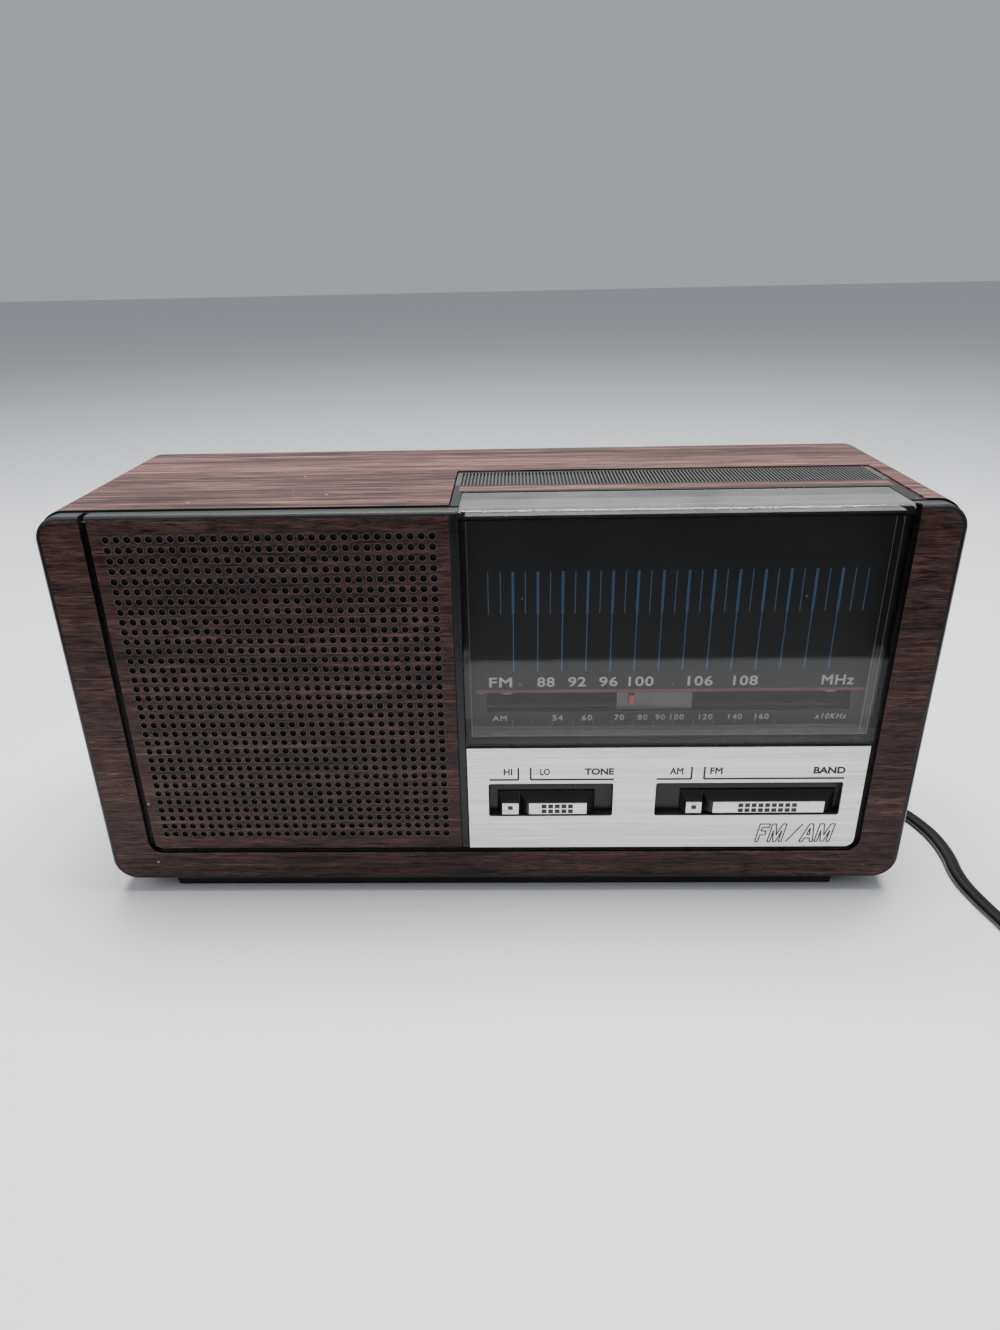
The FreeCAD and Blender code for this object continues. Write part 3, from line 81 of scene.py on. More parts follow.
class Paint:
    """A procedural material. Its methods add nodes and give back their output sockets."""

    def __init__(self, name, **sockets):
        self.material = bpy.data.materials.new(name)
        self.material.use_nodes = True
        self.nodes = self.material.node_tree.nodes
        self.links = self.material.node_tree.links
        self.shader = self.nodes["Principled BSDF"]
        self.output = self.nodes["Material Output"]
        self.place = self.nodes.new("ShaderNodeTexCoord").outputs["Object"]
        for socket, value in sockets.items():
            self.give(self.shader, socket.replace("_", " "), value)

    def give(self, node, socket, value):
        """Sets an input, or links it where the value is another node's output."""
        if isinstance(value, bpy.types.NodeSocket):
            self.links.new(value, node.inputs[socket])
        elif isinstance(value, tuple) and len(value) == 3 and node.inputs[socket].type == "RGBA":
            node.inputs[socket].default_value = (*value, 1.0)
        else:
            node.inputs[socket].default_value = value

    def node(self, kind, inputs, **settings):
        made = self.nodes.new("ShaderNode" + kind)
        for key, value in settings.items():
            setattr(made, key, value)
        for socket, value in inputs.items():
            self.give(made, socket, value)
        return made

    def stretched(self, x, y, z, shift=(0.0, 0.0, 0.0)):
        """Object coordinates with so many pattern units per metre along each axis."""
        inputs = {"Vector": self.place, "Scale": (x, y, z), "Location": shift}
        return self.node("Mapping", inputs).outputs[0]

    def noise(self, vector, detail=3.0, roughness=0.55, distortion=0.0):
        inputs = {
            "Vector": vector,
            "Scale": 1.0,
            "Detail": detail,
            "Roughness": roughness,
            "Distortion": distortion,
        }
        return self.node("TexNoise", inputs).outputs[0]

    def cells(self, vector, randomness=1.0):
        """A Voronoi pattern's distance and cell colour."""
        made = self.node("TexVoronoi", {"Vector": vector, "Scale": 1.0, "Randomness": randomness})
        return made.outputs["Distance"], made.outputs["Color"]

    def ramp(self, factor, stops, smooth=False):
        made = self.node("ValToRGB", {"Fac": factor})
        made.color_ramp.interpolation = "EASE" if smooth else "LINEAR"
        points = made.color_ramp.elements
        while len(points) < len(stops):
            points.new(0.5)
        for point, (position, colour) in zip(points, stops):
            point.position = position
            level = colour if isinstance(colour, tuple) else (colour,) * 3
            point.color = (*level, 1.0)
        return made.outputs[0]

    def mix(self, factor, first, second, blend="MIX"):
        made = self.node("Mix", {}, data_type="RGBA", blend_type=blend)
        colours = [socket for socket in made.inputs if socket.type == "RGBA"]
        self.give(made, 0, factor)
        for socket, value in zip(colours, (first, second)):
            if isinstance(value, bpy.types.NodeSocket):
                self.links.new(value, socket)
            else:
                socket.default_value = (*value, 1.0)
        return next(socket for socket in made.outputs if socket.type == "RGBA")

    def sum(self, operation, first, second=0.0, third=None):
        made = self.nodes.new("ShaderNodeMath")
        made.operation = operation
        for number, value in enumerate((first, second, third)):
            if value is not None:
                self.give(made, number, value)
        return made.outputs[0]

    def axes(self, vector=None):
        return self.node("SeparateXYZ", {"Vector": vector or self.place}).outputs

    def relief(self, *layers, edge=0.0):
        """Bump from (height, strength, distance in mm) layers, over edges softened by edge mm."""
        normal = None
        if edge:
            normal = self.node("Bevel", {"Radius": edge * MM}, samples=4).outputs[0]
        for height, strength, distance in layers:
            inputs = {"Height": height, "Strength": strength, "Distance": distance * MM}
            if normal is not None:
                inputs["Normal"] = normal
            normal = self.node("Bump", inputs).outputs[0]
        self.give(self.shader, "Normal", normal)

    def dust(self, colour, dust_colour=(0.5, 0.48, 0.45), per_metre=90.0, speck=0.045, share=0.25):
        """The colour with sparse light specks on it."""
        distance, cell = self.cells(self.stretched(per_metre, per_metre, per_metre))
        small = self.sum("LESS_THAN", distance, speck)
        chosen = self.sum("LESS_THAN", self.axes(cell)[0], share)
        there = self.sum("MULTIPLY", small, chosen)
        return self.mix(self.sum("MULTIPLY", there, 0.6), colour, dust_colour)


def rosewood(name, on_front, black, specular, painted_light_tint=1.0, contrast=1.0):
    """Printed rosewood with streaks along X, which on the sleeve run on down its sides.

    Where black, a comparison with a depth in millimetres, holds, there is no foil on the plastic.
    """
    # The tint scales the foil's colours into lit and shaded copies: above 1 it is painted light,
    # below 1 painted shade.
    dark, middle, light = ((r * painted_light_tint, g * painted_light_tint, b * painted_light_tint) for r, g, b in WOOD)
    paint = Paint(name, **{"Specular_IOR_Level": specular})

    def grain(length, height, shift=(0, 0, 0)):
        along, across = 1000 / length, 1000 / height
        if on_front:
            return paint.stretched(along, 3.0, across, shift)
        return paint.stretched(along / 2.2, across, along / 2.2, shift)

    bands = paint.noise(grain(120, 14), 3, 0.6, 0.8)
    streaks = paint.noise(grain(30, 1.7, (7.7, 2.3, 0.4)), 5, 0.7, 0.6)
    fibres = paint.noise(grain(7, 0.45, (1.9, 8.1, 3.3)), 4, 0.7, 0.2)
    dashes = paint.noise(grain(11, 0.7, (4.4, 6.2, 2.6)), 3, 0.6, 0.3)
    clouds = paint.noise(grain(46, 7, (3.1, 1.7, 5.2)), 4, 0.6, 1.2)
    spread = 0.14 / contrast
    tone = paint.sum("MULTIPLY_ADD", bands, 0.30, paint.sum("MULTIPLY", streaks, 0.70))
    stops = [(0.50 - spread, dark), (0.50, middle), (0.50 + spread, light)]
    colour = paint.ramp(tone, stops, smooth=True)
    pores = paint.ramp(fibres, [(0.40, 0.25), (0.54, 1.0)], smooth=True)
    colour = paint.mix(0.85, colour, pores, "MULTIPLY")
    cuts = paint.ramp(dashes, [(0.37, 0.12), (0.43, 1.0)], smooth=True)
    colour = paint.mix(0.9, colour, cuts, "MULTIPLY")
    shadow = paint.ramp(clouds, [(0.56, 0.0), (0.70, 0.55)], smooth=True)
    colour = paint.mix(shadow, colour, WOOD_SHADOW)
    colour = paint.dust(colour, (0.42, 0.38, 0.35), 70.0, 0.035, 0.3)
    comparison, limit = black
    bare = paint.sum(comparison, paint.axes()[1], (limit - CABINET_DEPTH / 2) * MM)
    colour = paint.mix(bare, colour, (0.006, 0.006, 0.006))
    paint.give(paint.shader, "Base Color", colour)
    paint.give(paint.shader, "Roughness", paint.sum("MULTIPLY_ADD", fibres, 0.16, 0.34))
    paint.relief((streaks, 0.2, 0.05), (fibres, 0.3, 0.03))
    return paint.material


def moulded(
    name, colour, rough, grain_mm=0.5, depth=0.02, edge=0.25, dusty=0.0, painted_top_sheen=0.0, **sockets
):
    """Moulded plastic: fine grain, cloudy colour and roughness, softened edges.

    Faces that look upwards are made lighter by this much, a painted sheen standing in for light
    from above.
    """
    paint = Paint(name, **sockets)
    cloud = paint.noise(paint.stretched(60, 60, 60), 3)
    fine = paint.noise(paint.stretched(*(1000 / grain_mm,) * 3), 2)
    lighter = tuple(min(1.0, channel * 1.35 + 0.003) for channel in colour)
    body = paint.mix(paint.ramp(cloud, [(0.35, 0.0), (0.7, 1.0)]), colour, lighter)
    # Painted sheen: faces that look upwards are lightened the way light from above would light
    # them.
    if painted_top_sheen:
        upward = paint.axes(paint.node("NewGeometry", {}).outputs["Normal"])[2]
        share = paint.ramp(upward, [(0.55, 0.0), (0.95, 1.0)])
        body = paint.mix(share, body, tuple(channel + painted_top_sheen for channel in colour))
    if dusty:
        body = paint.dust(body, PLASTIC_DUST, 140.0, 0.05, dusty)
    paint.give(paint.shader, "Base Color", body)
    swing = paint.sum("MULTIPLY_ADD", cloud, 0.18, rough - 0.09)
    paint.give(paint.shader, "Roughness", swing)
    paint.relief((fine, 0.35, depth), edge=edge)
    return paint.material


def ribbed_plastic(name):
    """Black plastic, grey on top of its ribs, partly from dust and wear and partly as a painted
    highlight, and darkest below its top face, as painted shade in the grooves.
    """
    paint = Paint(name)
    worn = paint.noise(paint.stretched(220, 220, 220), 4, 0.7)
    # Rib tops lighter grey: partly dust and wear, partly a painted highlight.
    worn_and_highlit_top = paint.mix(worn, (0.030, 0.030, 0.029), (0.080, 0.077, 0.074))
    _, y, z = paint.axes()
    middle = (RIBS_FRONT + RIBS_BACK - CABINET_DEPTH) / 2 * MM
    half = (RIBS_BACK - RIBS_FRONT) / 2 * MM
    off_middle = paint.sum("ABSOLUTE", paint.sum("SUBTRACT", y, middle))
    plain = paint.sum("GREATER_THAN", off_middle, half)
    top = paint.mix(plain, worn_and_highlit_top, (0.010, 0.010, 0.011))
    # Painted shade: all below the top face is darkened, as shade down in the rib grooves.
    painted_groove_shade = paint.sum("LESS_THAN", z, (HOOD_TOP - 0.1) * MM)
    colour = paint.mix(painted_groove_shade, top, (0.003, 0.003, 0.003))
    paint.give(paint.shader, "Base Color", paint.dust(colour, PLASTIC_DUST, 140.0, 0.05, 0.5))
    paint.give(paint.shader, "Roughness", paint.sum("MULTIPLY_ADD", worn, 0.25, 0.30))
    paint.relief((worn, 0.3, 0.03), edge=0.1)
    return paint.material


def metal(name, colour, rough, brushed_along="x", length=14.0, width=0.12, depth=0.012):
    """Metal with brush lines along one axis."""
    paint = Paint(name, Metallic=1.0)
    long, short = 1000 / length, 1000 / width
    scale = {"x": (long, short, short), "y": (short, long, short), "z": (short, short, long)}
    lines = paint.noise(paint.stretched(*scale[brushed_along]), 4, 0.75)
    broad = paint.noise(paint.stretched(*(value / 9 for value in scale[brushed_along])), 3, 0.6)
    darker = tuple(channel * 0.62 for channel in colour)
    shade = paint.sum("MULTIPLY_ADD", lines, 0.6, paint.sum("MULTIPLY", broad, 0.4))
    shade = paint.ramp(shade, [(0.36, 0.0), (0.60, 1.0)])
    paint.give(paint.shader, "Base Color", paint.mix(shade, darker, colour))
    paint.give(paint.shader, "Roughness", paint.sum("MULTIPLY_ADD", lines, 0.2, rough - 0.1))
    paint.relief((lines, 0.3, depth), edge=0.15)
    return paint.material


def ink(name, colour, rough=0.45):
    """Printing ink, a little uneven. The same flat colour also gives the painted highlights on the
    hole lips and the painted glints on the window.
    """
    paint = Paint(name, Roughness=rough)
    wear = paint.noise(paint.stretched(900, 900, 900), 3, 0.7)
    faded = tuple(channel * 0.72 for channel in colour)
    paint.give(paint.shader, "Base Color", paint.mix(wear, faded, colour))
    paint.relief((wear, 0.2, 0.01))
    return paint.material


def clear_plastic(name):
    """Clear plastic that lets light straight through, with its reflections on top."""
    paint = Paint(name)
    smear = paint.noise(paint.stretched(38, 38, 38), 4, 0.6, 0.6)
    scratch = paint.noise(paint.stretched(260, 260, 30), 2, 0.5)
    gloss = paint.node("BsdfGlossy", {"Color": (1.0, 1.0, 1.0)})
    haze = paint.sum("MULTIPLY", smear, 0.015)
    paint.give(gloss, "Roughness", haze)
    bump = paint.node("Bump", {"Height": scratch, "Strength": 0.02, "Distance": 0.01 * MM})
    paint.links.new(bump.outputs[0], gloss.inputs["Normal"])
    through = paint.node("BsdfTransparent", {"Color": (0.94, 0.94, 0.94)})
    fresnel = paint.node("Fresnel", {"IOR": 1.31})
    film = paint.node("MixShader", {"Fac": fresnel.outputs[0]})
    paint.links.new(through.outputs[0], film.inputs[1])
    paint.links.new(gloss.outputs[0], film.inputs[2])
    # The faces that look upwards get a milky layer, partly dust and partly a painted sheen that
    # lightens the top as light from above would.
    upward = paint.axes(paint.node("NewGeometry", {}).outputs["Normal"])[2]
    dusty = paint.ramp(upward, [(0.70, 0.0), (0.90, 1.0)])
    streaky = paint.sum("MULTIPLY_ADD", smear, 0.13, 0.015)
    dust_and_sheen_milk = paint.node("BsdfDiffuse", {"Color": (0.80, 0.79, 0.79)})
    top = paint.node("MixShader", {"Fac": paint.sum("MULTIPLY", dusty, streaky)})
    paint.links.new(film.outputs[0], top.inputs[1])
    paint.links.new(dust_and_sheen_milk.outputs[0], top.inputs[2])
    paint.nodes.remove(paint.shader)
    paint.links.new(top.outputs[0], paint.output.inputs["Surface"])
    return paint.material


def woven(name, dark, light, pitch_mm):
    """Cloth or felt with a checked weave of this pitch."""
    paint = Paint(name, Roughness=0.9)
    unit = 1000 / pitch_mm
    x, _, z = paint.axes(paint.stretched(*(unit * math.pi,) * 3))
    weave = paint.sum("MULTIPLY", paint.sum("SINE", x), paint.sum("SINE", z))
    level = paint.sum("MULTIPLY_ADD", weave, 0.5, 0.5)
    paint.give(paint.shader, "Base Color", paint.mix(level, dark, light))
    paint.relief((level, 0.6, 0.1))
    return paint.material


WOOD = (0.016, 0.0085, 0.008), (0.066, 0.032, 0.029), (0.150, 0.073, 0.060)
WOOD_SHADOW = (0.011, 0.011, 0.013)


def make_materials():
    return {
        # One foil in two copies: the front's is darkened, as painted shade, and the sleeve's, on
        # its top and sides, lightened, as painted light from above.
        "front_wood": rosewood(
            "front_rosewood", True, ("GREATER_THAN", FRONT_FOIL_END), specular=0.18, painted_light_tint=0.82
        ),
        "sleeve_wood": rosewood(
            "sleeve_rosewood",
            False,
            ("LESS_THAN", SLEEVE_FOIL_START),
            specular=0.3,
            painted_light_tint=1.75,
            contrast=1.5,
        ),
        "rim_black": moulded(
            "rim_black_plastic",
            (0.007, 0.007, 0.008),
            0.28,
            depth=0.008,
            edge=0.8,
            painted_top_sheen=0.05,
            Specular_IOR_Level=0.3,
        ),
        "black": moulded(
            "black_satin_plastic",
            (0.007, 0.007, 0.008),
            0.36,
            dusty=0.25,
            painted_top_sheen=0.012,
            Specular_IOR_Level=0.3,
        ),
        "ribbed": ribbed_plastic("ribbed_black_plastic"),
        "dial_black": moulded(
            "dial_black_lacquer", (0.004, 0.004, 0.005), 0.5, dusty=0.5, edge=0.0
        ),
        "silver": metal("brushed_aluminium", (0.86, 0.84, 0.81), 0.42, length=22.0, width=0.22),
        "inlay": metal("satin_inlay", (0.88, 0.87, 0.85), 0.45, length=4.0),
        "steel": metal("turned_steel", (0.58, 0.58, 0.58), 0.35, length=3.0),
        "can": metal("drawn_can", (0.66, 0.66, 0.67), 0.38, "y", 6.0),
        "brass": metal("plated_brass", (0.80, 0.72, 0.50), 0.25, "y", 8.0),
        "copper": metal("enamelled_copper", (0.62, 0.28, 0.12), 0.4, "y", 2.0, 0.3, 0.1),
        "cloth": woven("black_speaker_cloth", (0.003, 0.003, 0.003), (0.012, 0.012, 0.012), 0.7),
        "paper": woven("pressed_paper", (0.02, 0.02, 0.02), (0.035, 0.033, 0.03), 1.1),
        "thread": woven("braided_thread", (0.35, 0.30, 0.22), (0.60, 0.55, 0.42), 0.5),
        "clear": clear_plastic("clear_plastic"),
        "red": moulded("red_pointer", (0.45, 0.03, 0.02), 0.4),
        "grey": moulded("grey_carriage", (0.11, 0.108, 0.106), 0.45),
        "nylon": moulded("white_nylon", (0.62, 0.61, 0.56), 0.5),
        "board": moulded("phenolic_board", (0.20, 0.10, 0.04), 0.5, 1.2),
        "blue_sleeve": moulded("blue_sleeving", (0.02, 0.05, 0.20), 0.25),
        "chip": moulded("chip_black", (0.02, 0.02, 0.02), 0.55),
        "ferrite": moulded("ferrite_grey", (0.035, 0.033, 0.033), 0.6, 0.8),
        "lamination": metal("varnished_laminations", (0.20, 0.17, 0.15), 0.5, "x", 40.0, 0.5, 0.1),
        "tape": moulded("yellow_tape", (0.60, 0.42, 0.08), 0.5),
        "painted_steel": moulded("black_painted_steel", (0.03, 0.03, 0.03), 0.35),
        "cord": moulded("glossy_black_cord", (0.005, 0.005, 0.005), 0.2, 0.8, 0.02),
        "white_ink": ink("white_ink", (0.62, 0.61, 0.58)),
        "blue_ink": ink("blue_ink", (0.060, 0.135, 0.255)),
        "red_ink": ink("red_ink", (0.25, 0.035, 0.045)),
        "black_ink": ink("black_ink", (0.004, 0.004, 0.004)),
        # Painted highlight: the holes' lips get a lighter grey-brown than the panel.
        "rim": ink("painted_highlight_hole_rim", (0.085, 0.070, 0.066), 0.4),
        # Painted glint: a light grey flat colour standing in for light caught along the window's
        # inner edges.
        "glint": ink("moulded_edge_glint", (0.16, 0.155, 0.15), 0.3),
    }


NODE_PAINT = {
    "front_wood": ["front_trim", "grille_panel"],
    "sleeve_wood": ["sleeve", "hood_trim_strip"],
    "rim_black": ["front_bezel"],
    "black": [
        "base_plinth",
        "dial_frame",
        "tone_knob",
        "band_knob",
        "tuning_wheel",
        "volume_wheel",
        "rear_cover",
    ],
    "ribbed": ["dial_hood"],
    "dial_black": ["dial_plate"],
    "silver": ["control_panel"],
    "inlay": ["tone_knob_inlays", "band_knob_inlays"],
    "steel": [
        "pulley_pins",
        "tuning_wheel_pin",
        "board_screws",
        "speaker_screws",
        "transformer_screws",
        "transformer_bracket",
        "rear_screws",
        "base_screws",
    ],
    "can": ["volume_control", "tone_switch", "band_switch", "if_transformers", "heat_sink"],
    "brass": ["plug_blades"],
    "copper": ["antenna_coil"],
    "cloth": ["grille_cloth"],
    "paper": ["speaker_cone"],
    "thread": ["dial_cord"],
    "clear": ["dial_window"],
    "red": ["dial_pointer"],
    "grey": ["pointer_carriage"],
    "nylon": ["left_pulley", "right_pulley", "tuning_drum", "tuning_capacitor", "rod_holders"],
    "board": ["main_board"],
    "blue_sleeve": ["electrolytic_capacitors"],
    "chip": ["amplifier_chip"],
    "ferrite": ["ferrite_rod", "speaker_magnet"],
    "lamination": ["transformer_core"],
    "tape": ["transformer_winding"],
    "painted_steel": ["pointer_rail", "speaker_frame"],
    "cord": ["cord_strain_relief", "power_plug", "power_cord", "power_cord_coil"],
}


def paint_nodes(materials):
    for paint_name, names in NODE_PAINT.items():
        for name in names:
            slots = NODES[name].data.materials
            slots.clear()
            slots.append(materials[paint_name])
    painted = {name for names in NODE_PAINT.values() for name in names}
    assert painted == set(NODES), sorted(set(NODES) - painted)


# ---------------------------------------------------------------- meshes


def piece(name, vertices, faces, material, body, smooth=False):
    """A mesh object in the row frame, riding on a CAD body."""
    mesh = bpy.data.meshes.new(name)
    mesh.from_pydata([tuple(vertex) for vertex in vertices], [], faces)
    mesh.materials.append(material)
    if smooth:
        mesh.shade_smooth()
    made = bpy.data.objects.new(name, mesh)
    bpy.context.scene.collection.objects.link(made)
    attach(made, body)
    return made


class Drawing:
    """Flat prints on a plane that faces the front, gathered into one mesh."""

    def __init__(self, depth, thickness=0.06):
        self.depth = depth
        self.thickness = thickness
        self.vertices = []
        self.faces = []

    def block(self, corners):
        """A thin slab over a quadrilateral of (x, height) corners, anticlockwise from the front."""
        first = len(self.vertices)
        for depth in (self.depth - self.thickness, self.depth):
            self.vertices += [at(x, depth, height) for x, height in corners]
        self.faces.append(tuple(first + number for number in range(4)))
        for number in range(4):
            after = (number + 1) % 4
            below, beside = first + number, first + after
            self.faces.append((beside, below, below + 4, beside + 4))

    def bar(self, left, right, bottom, top):
        self.block([(left, bottom), (right, bottom), (right, top), (left, top)])

    def line(self, start, end, width):
        """A straight stroke between two (x, height) points."""
        along = Vector(end) - Vector(start)
        side = Vector((-along.y, along.x)).normalized() * width / 2
        a, b = Vector(start), Vector(end)
        self.block([a - side, b - side, b + side, a + side])

    def outline(self, corners, left, right, bottom, top, slant, width):
        """A closed outline given in shares of a rectangle, leaning to the right by slant."""
        places = []
        for u, v in corners:
            x = left + u * (right - left) + v * slant
            places.append((x, bottom + v * (top - bottom)))
        for start, end in zip(places, places[1:] + places[:1]):
            self.line(start, end, width)

    def words(self, text, left, right, bottom, top, weight=0.01, spacing=1.0, slant=0.0):
        """Lettering fitted into a rectangle. Its strokes grow by weight on each side."""
        curve = bpy.data.curves.new("lettering", "FONT")
        curve.body = text
        curve.shear = slant
        curve.space_character = spacing
        curve.resolution_u = 4
        curve.extrude = 0.01
        curve.bevel_depth = weight
        curve.bevel_resolution = 0
        shown = bpy.data.objects.new("lettering", curve)
        mesh = bpy.data.meshes.new_from_object(shown)
        points = [vertex.co.copy() for vertex in mesh.vertices]
        low = [min(point[axis] for point in points) for axis in range(3)]
        high = [max(point[axis] for point in points) for axis in range(3)]
        first = len(self.vertices)
        for point in points:
            u, v, w = ((point[k] - low[k]) / (high[k] - low[k]) for k in range(3))
            self.vertices.append(
                at(
                    left + u * (right - left),
                    self.depth - w * self.thickness,
                    bottom + v * (top - bottom),
                )
            )
        for face in mesh.polygons:
            self.faces.append(tuple(first + number for number in face.vertices))
        bpy.data.objects.remove(shown)
        bpy.data.curves.remove(curve)
        bpy.data.meshes.remove(mesh)

    def finish(self, name, material, body, slot):
        return piece(name, self.vertices, self.faces, material, body)


# ---------------------------------------------------------------- mains cord

# The route's points in part.py, as (x, depth, height). A flat cord lies lower than the round tube.
FLAT = 1.4
EXIT = (108.0, 120.0, 24.0)
ROUTE = [
    EXIT,
    (108.3, 132.0, 22.3),
    (112.5, 145.0, 17.0),
    (122.0, 155.0, 9.5),
    (135.5, 159.0, 3.0),
    (149.5, 156.0, FLAT),
    (160.0, 146.0, FLAT),
    (165.0, 131.0, FLAT),
    (165.0, 113.0, FLAT),
    (160.5, 95.0, FLAT),
    (158.5, 77.0, FLAT),
    (162.5, 59.0, FLAT),
    (171.0, 40.0, FLAT),
    (172.5, 22.0, FLAT),
    (169.5, 5.0, FLAT),
    (171.5, -10.0, FLAT),
    (175.5, -27.0, FLAT),
]
COIL_CENTRE = (206.0, -50.0)
COIL_RADII = (32.7, 27.3)
COIL_TURNS = 7.5
TURN_POINTS = 16
LAYER = 2.85
CORD_WIDTH = 5.4
CORD_THICKNESS = 2.7
TO_PLUG = [(237.2, -41.0, 8.6), (236.2, -36.0, 6.8), (236.0, -31.5, 6.0)]


def coil_place(turn):
    """(radius, height) of the cord in the coil after so many turns: outside, inside, then up."""
    order = [(0, 0), (1, 0), (1, 1), (0, 1), (0, 2), (1, 2), (1, 3), (0, 3)]
    step = min(int(turn), len(order) - 1)
    following = min(step + 1, len(order) - 1)
    share = min(1.0, max(0.0, (turn - step - 0.8) / 0.2))
    share = share * share * (3 - 2 * share)
    (radial, layer), (next_radial, next_layer) = order[step], order[following]
    radius = COIL_RADII[radial] * (1 - share) + COIL_RADII[next_radial] * share
    return radius, FLAT + LAYER * (layer * (1 - share) + next_layer * share)


def cord_line():
    """Points along the whole cord, from one smooth spline through its route, coil and lead."""
    points = [at(*point) for point in ROUTE]
    for number in range(int(COIL_TURNS * TURN_POINTS) + 1):
        turn = number / TURN_POINTS
        radius, height = coil_place(turn)
        angle = math.pi + turn * 2 * math.pi
        x = COIL_CENTRE[0] + radius * math.cos(angle)
        points.append(at(x, COIL_CENTRE[1] + radius * math.sin(angle), height))
    points += [at(*point) for point in TO_PLUG]
    curve = bpy.data.curves.new("cord_line", "CURVE")
    curve.dimensions = "3D"
    curve.resolution_u = 8
    spline = curve.splines.new("NURBS")
    spline.points.add(len(points) - 1)
    for control, point in zip(spline.points, points):
        control.co = (*point, 1.0)
    spline.order_u = 3
    spline.use_endpoint_u = True
    shown = bpy.data.objects.new("cord_line", curve)
    mesh = bpy.data.meshes.new_from_object(shown)
    line = [vertex.co.copy() for vertex in mesh.vertices]
    bpy.data.objects.remove(shown)
    bpy.data.curves.remove(curve)
    bpy.data.meshes.remove(mesh)
    return line


def cord_section():
    """Half-width and half-height offsets round a flat two-core cord with a groove along it."""
    lobe = CORD_THICKNESS / 2
    reach = CORD_WIDTH / 2 - lobe
    spread, count = math.radians(138), 9
    offsets = []
    for side, middle in ((1, 0.0), (-1, math.pi)):
        for number in range(count):
            angle = middle - spread + 2 * spread * number / (count - 1)
            offsets.append((side * reach + lobe * math.cos(angle), lobe * math.sin(angle)))
    return offsets


def make_cord(materials):
    line = cord_line()
    section = cord_section()
    vertices, faces = [], []
    count = len(section)
    for number, point in enumerate(line):
        before, after = line[max(0, number - 1)], line[min(len(line) - 1, number + 1)]
        forward = (after - before).normalized()
        side = forward.cross(Vector((0, 0, 1))).normalized()
        up = side.cross(forward)
        vertices += [point + (side * u + up * v) * MM for u, v in section]
        if number:
            first = (number - 1) * count
            second = first + count
            for step in range(count):
                after_it = (step + 1) % count
                faces.append((first + step, second + step, second + after_it, first + after_it))
    faces.append(tuple(range(count)))
    faces.append(tuple(reversed(range(len(vertices) - count, len(vertices)))))
    paint = materials["cord"]
    cord = piece("mains_cord", vertices, faces, paint, "cabinet", smooth=True)
    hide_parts("power_cord", "power_cord_coil")


# ---------------------------------------------------------------- grille


def make_grille_rims(materials):
    """The slightly raised lip round each punched hole, coloured lighter as a painted highlight."""
    columns, rows, pitch = 31, 33, 3.4
    left, bottom = -121.3, 25.6
    sides = 18
    profile = [(1.15, 0.2), (1.17, -0.03), (1.24, -0.05), (1.34, 0.015)]
    vertices, faces = [], []
    for column in range(columns):
        for row in range(rows):
            x, height = left + column * pitch, bottom + row * pitch
            first = len(vertices)
            for reach, depth in profile:
                for step in range(sides):
                    angle = 2 * math.pi * step / sides
                    across, up = reach * math.cos(angle), reach * math.sin(angle)
                    vertices.append(at(x + across, depth, height + up))
            for ring in range(len(profile) - 1):
                for step in range(sides):
                    after = (step + 1) % sides
                    a, b = first + ring * sides, first + (ring + 1) * sides
                    faces.append((a + step, a + after, b + after, b + step))
    piece("grille_rims", vertices, faces, materials["rim"], "cabinet", smooth=True)


# ---------------------------------------------------------------- dial printing


def make_dial_print(materials):
    face = 10.0
    blue, white, red = Drawing(face), Drawing(face), Drawing(face)
    spacing, first_line, lines = 4.085, -2.8, 31
    line_top, line_bottom, tail_bottom = 119.5, 104.95, 84.3
    for number in range(lines):
        x = first_line + spacing * number
        thick = number % 2 == 0 and 2 <= number <= 28
        half = 0.42 if thick else 0.17
        blue.bar(x - half, x + half, line_bottom, line_top)
        if thick:
            blue.bar(x - 0.2, x + 0.2, tail_bottom, line_bottom)
    first_tick, tick_spacing, ticks = 4.83, 7.0, 14
    tick_bottom, tick_top = 63.9, 65.6
    for number in range(ticks):
        x = first_tick + tick_spacing * number
        blue.bar(x - 0.16, x + 0.16, tick_bottom, tick_top)
    fm_bottom, fm_top = 78.5, 82.1
    for text, left, right in (
        ("FM", -3.1, 4.8),
        ("88", 13.4, 19.4),
        ("92", 24.0, 30.1),
        ("96", 34.6, 40.9),
        ("100", 44.6, 53.1),
        ("106", 64.7, 73.2),
        ("108", 80.1, 88.4),
        ("MHz", 110.0, 120.9),
    ):
        white.words(text, left, right, fm_bottom, fm_top, weight=0.018, spacing=1.1)
    am_bottom, am_top, am_weight = 65.55, 67.65, 0.014
    for text, middle, width in (
        ("AM", 0.3, 5.0),
        ("54", 20.6, 3.6),
        ("60", 30.8, 3.6),
        ("70", 42.0, 3.4),
        ("80", 50.1, 3.4),
        ("90", 56.2, 3.4),
        ("100", 62.0, 4.7),
        ("120", 71.9, 4.7),
        ("140", 82.1, 4.7),
        ("160", 91.3, 4.7),
    ):
        left, right = middle - width / 2, middle + width / 2
        white.words(text, left, right, am_bottom, am_top, am_weight, 1.2)
    white.words("x10KHz", 109.4, 120.4, am_bottom, am_top, am_weight, 1.2, slant=0.2)
    red.bar(-7.4, 125.0, 76.3, 77.35)
    blue.finish("dial_lines", materials["blue_ink"], "cabinet", "dial_black")
    white.finish("dial_numbers", materials["white_ink"], "cabinet", "dial_black")
    red.finish("dial_red_line", materials["red_ink"], "cabinet", "dial_black")


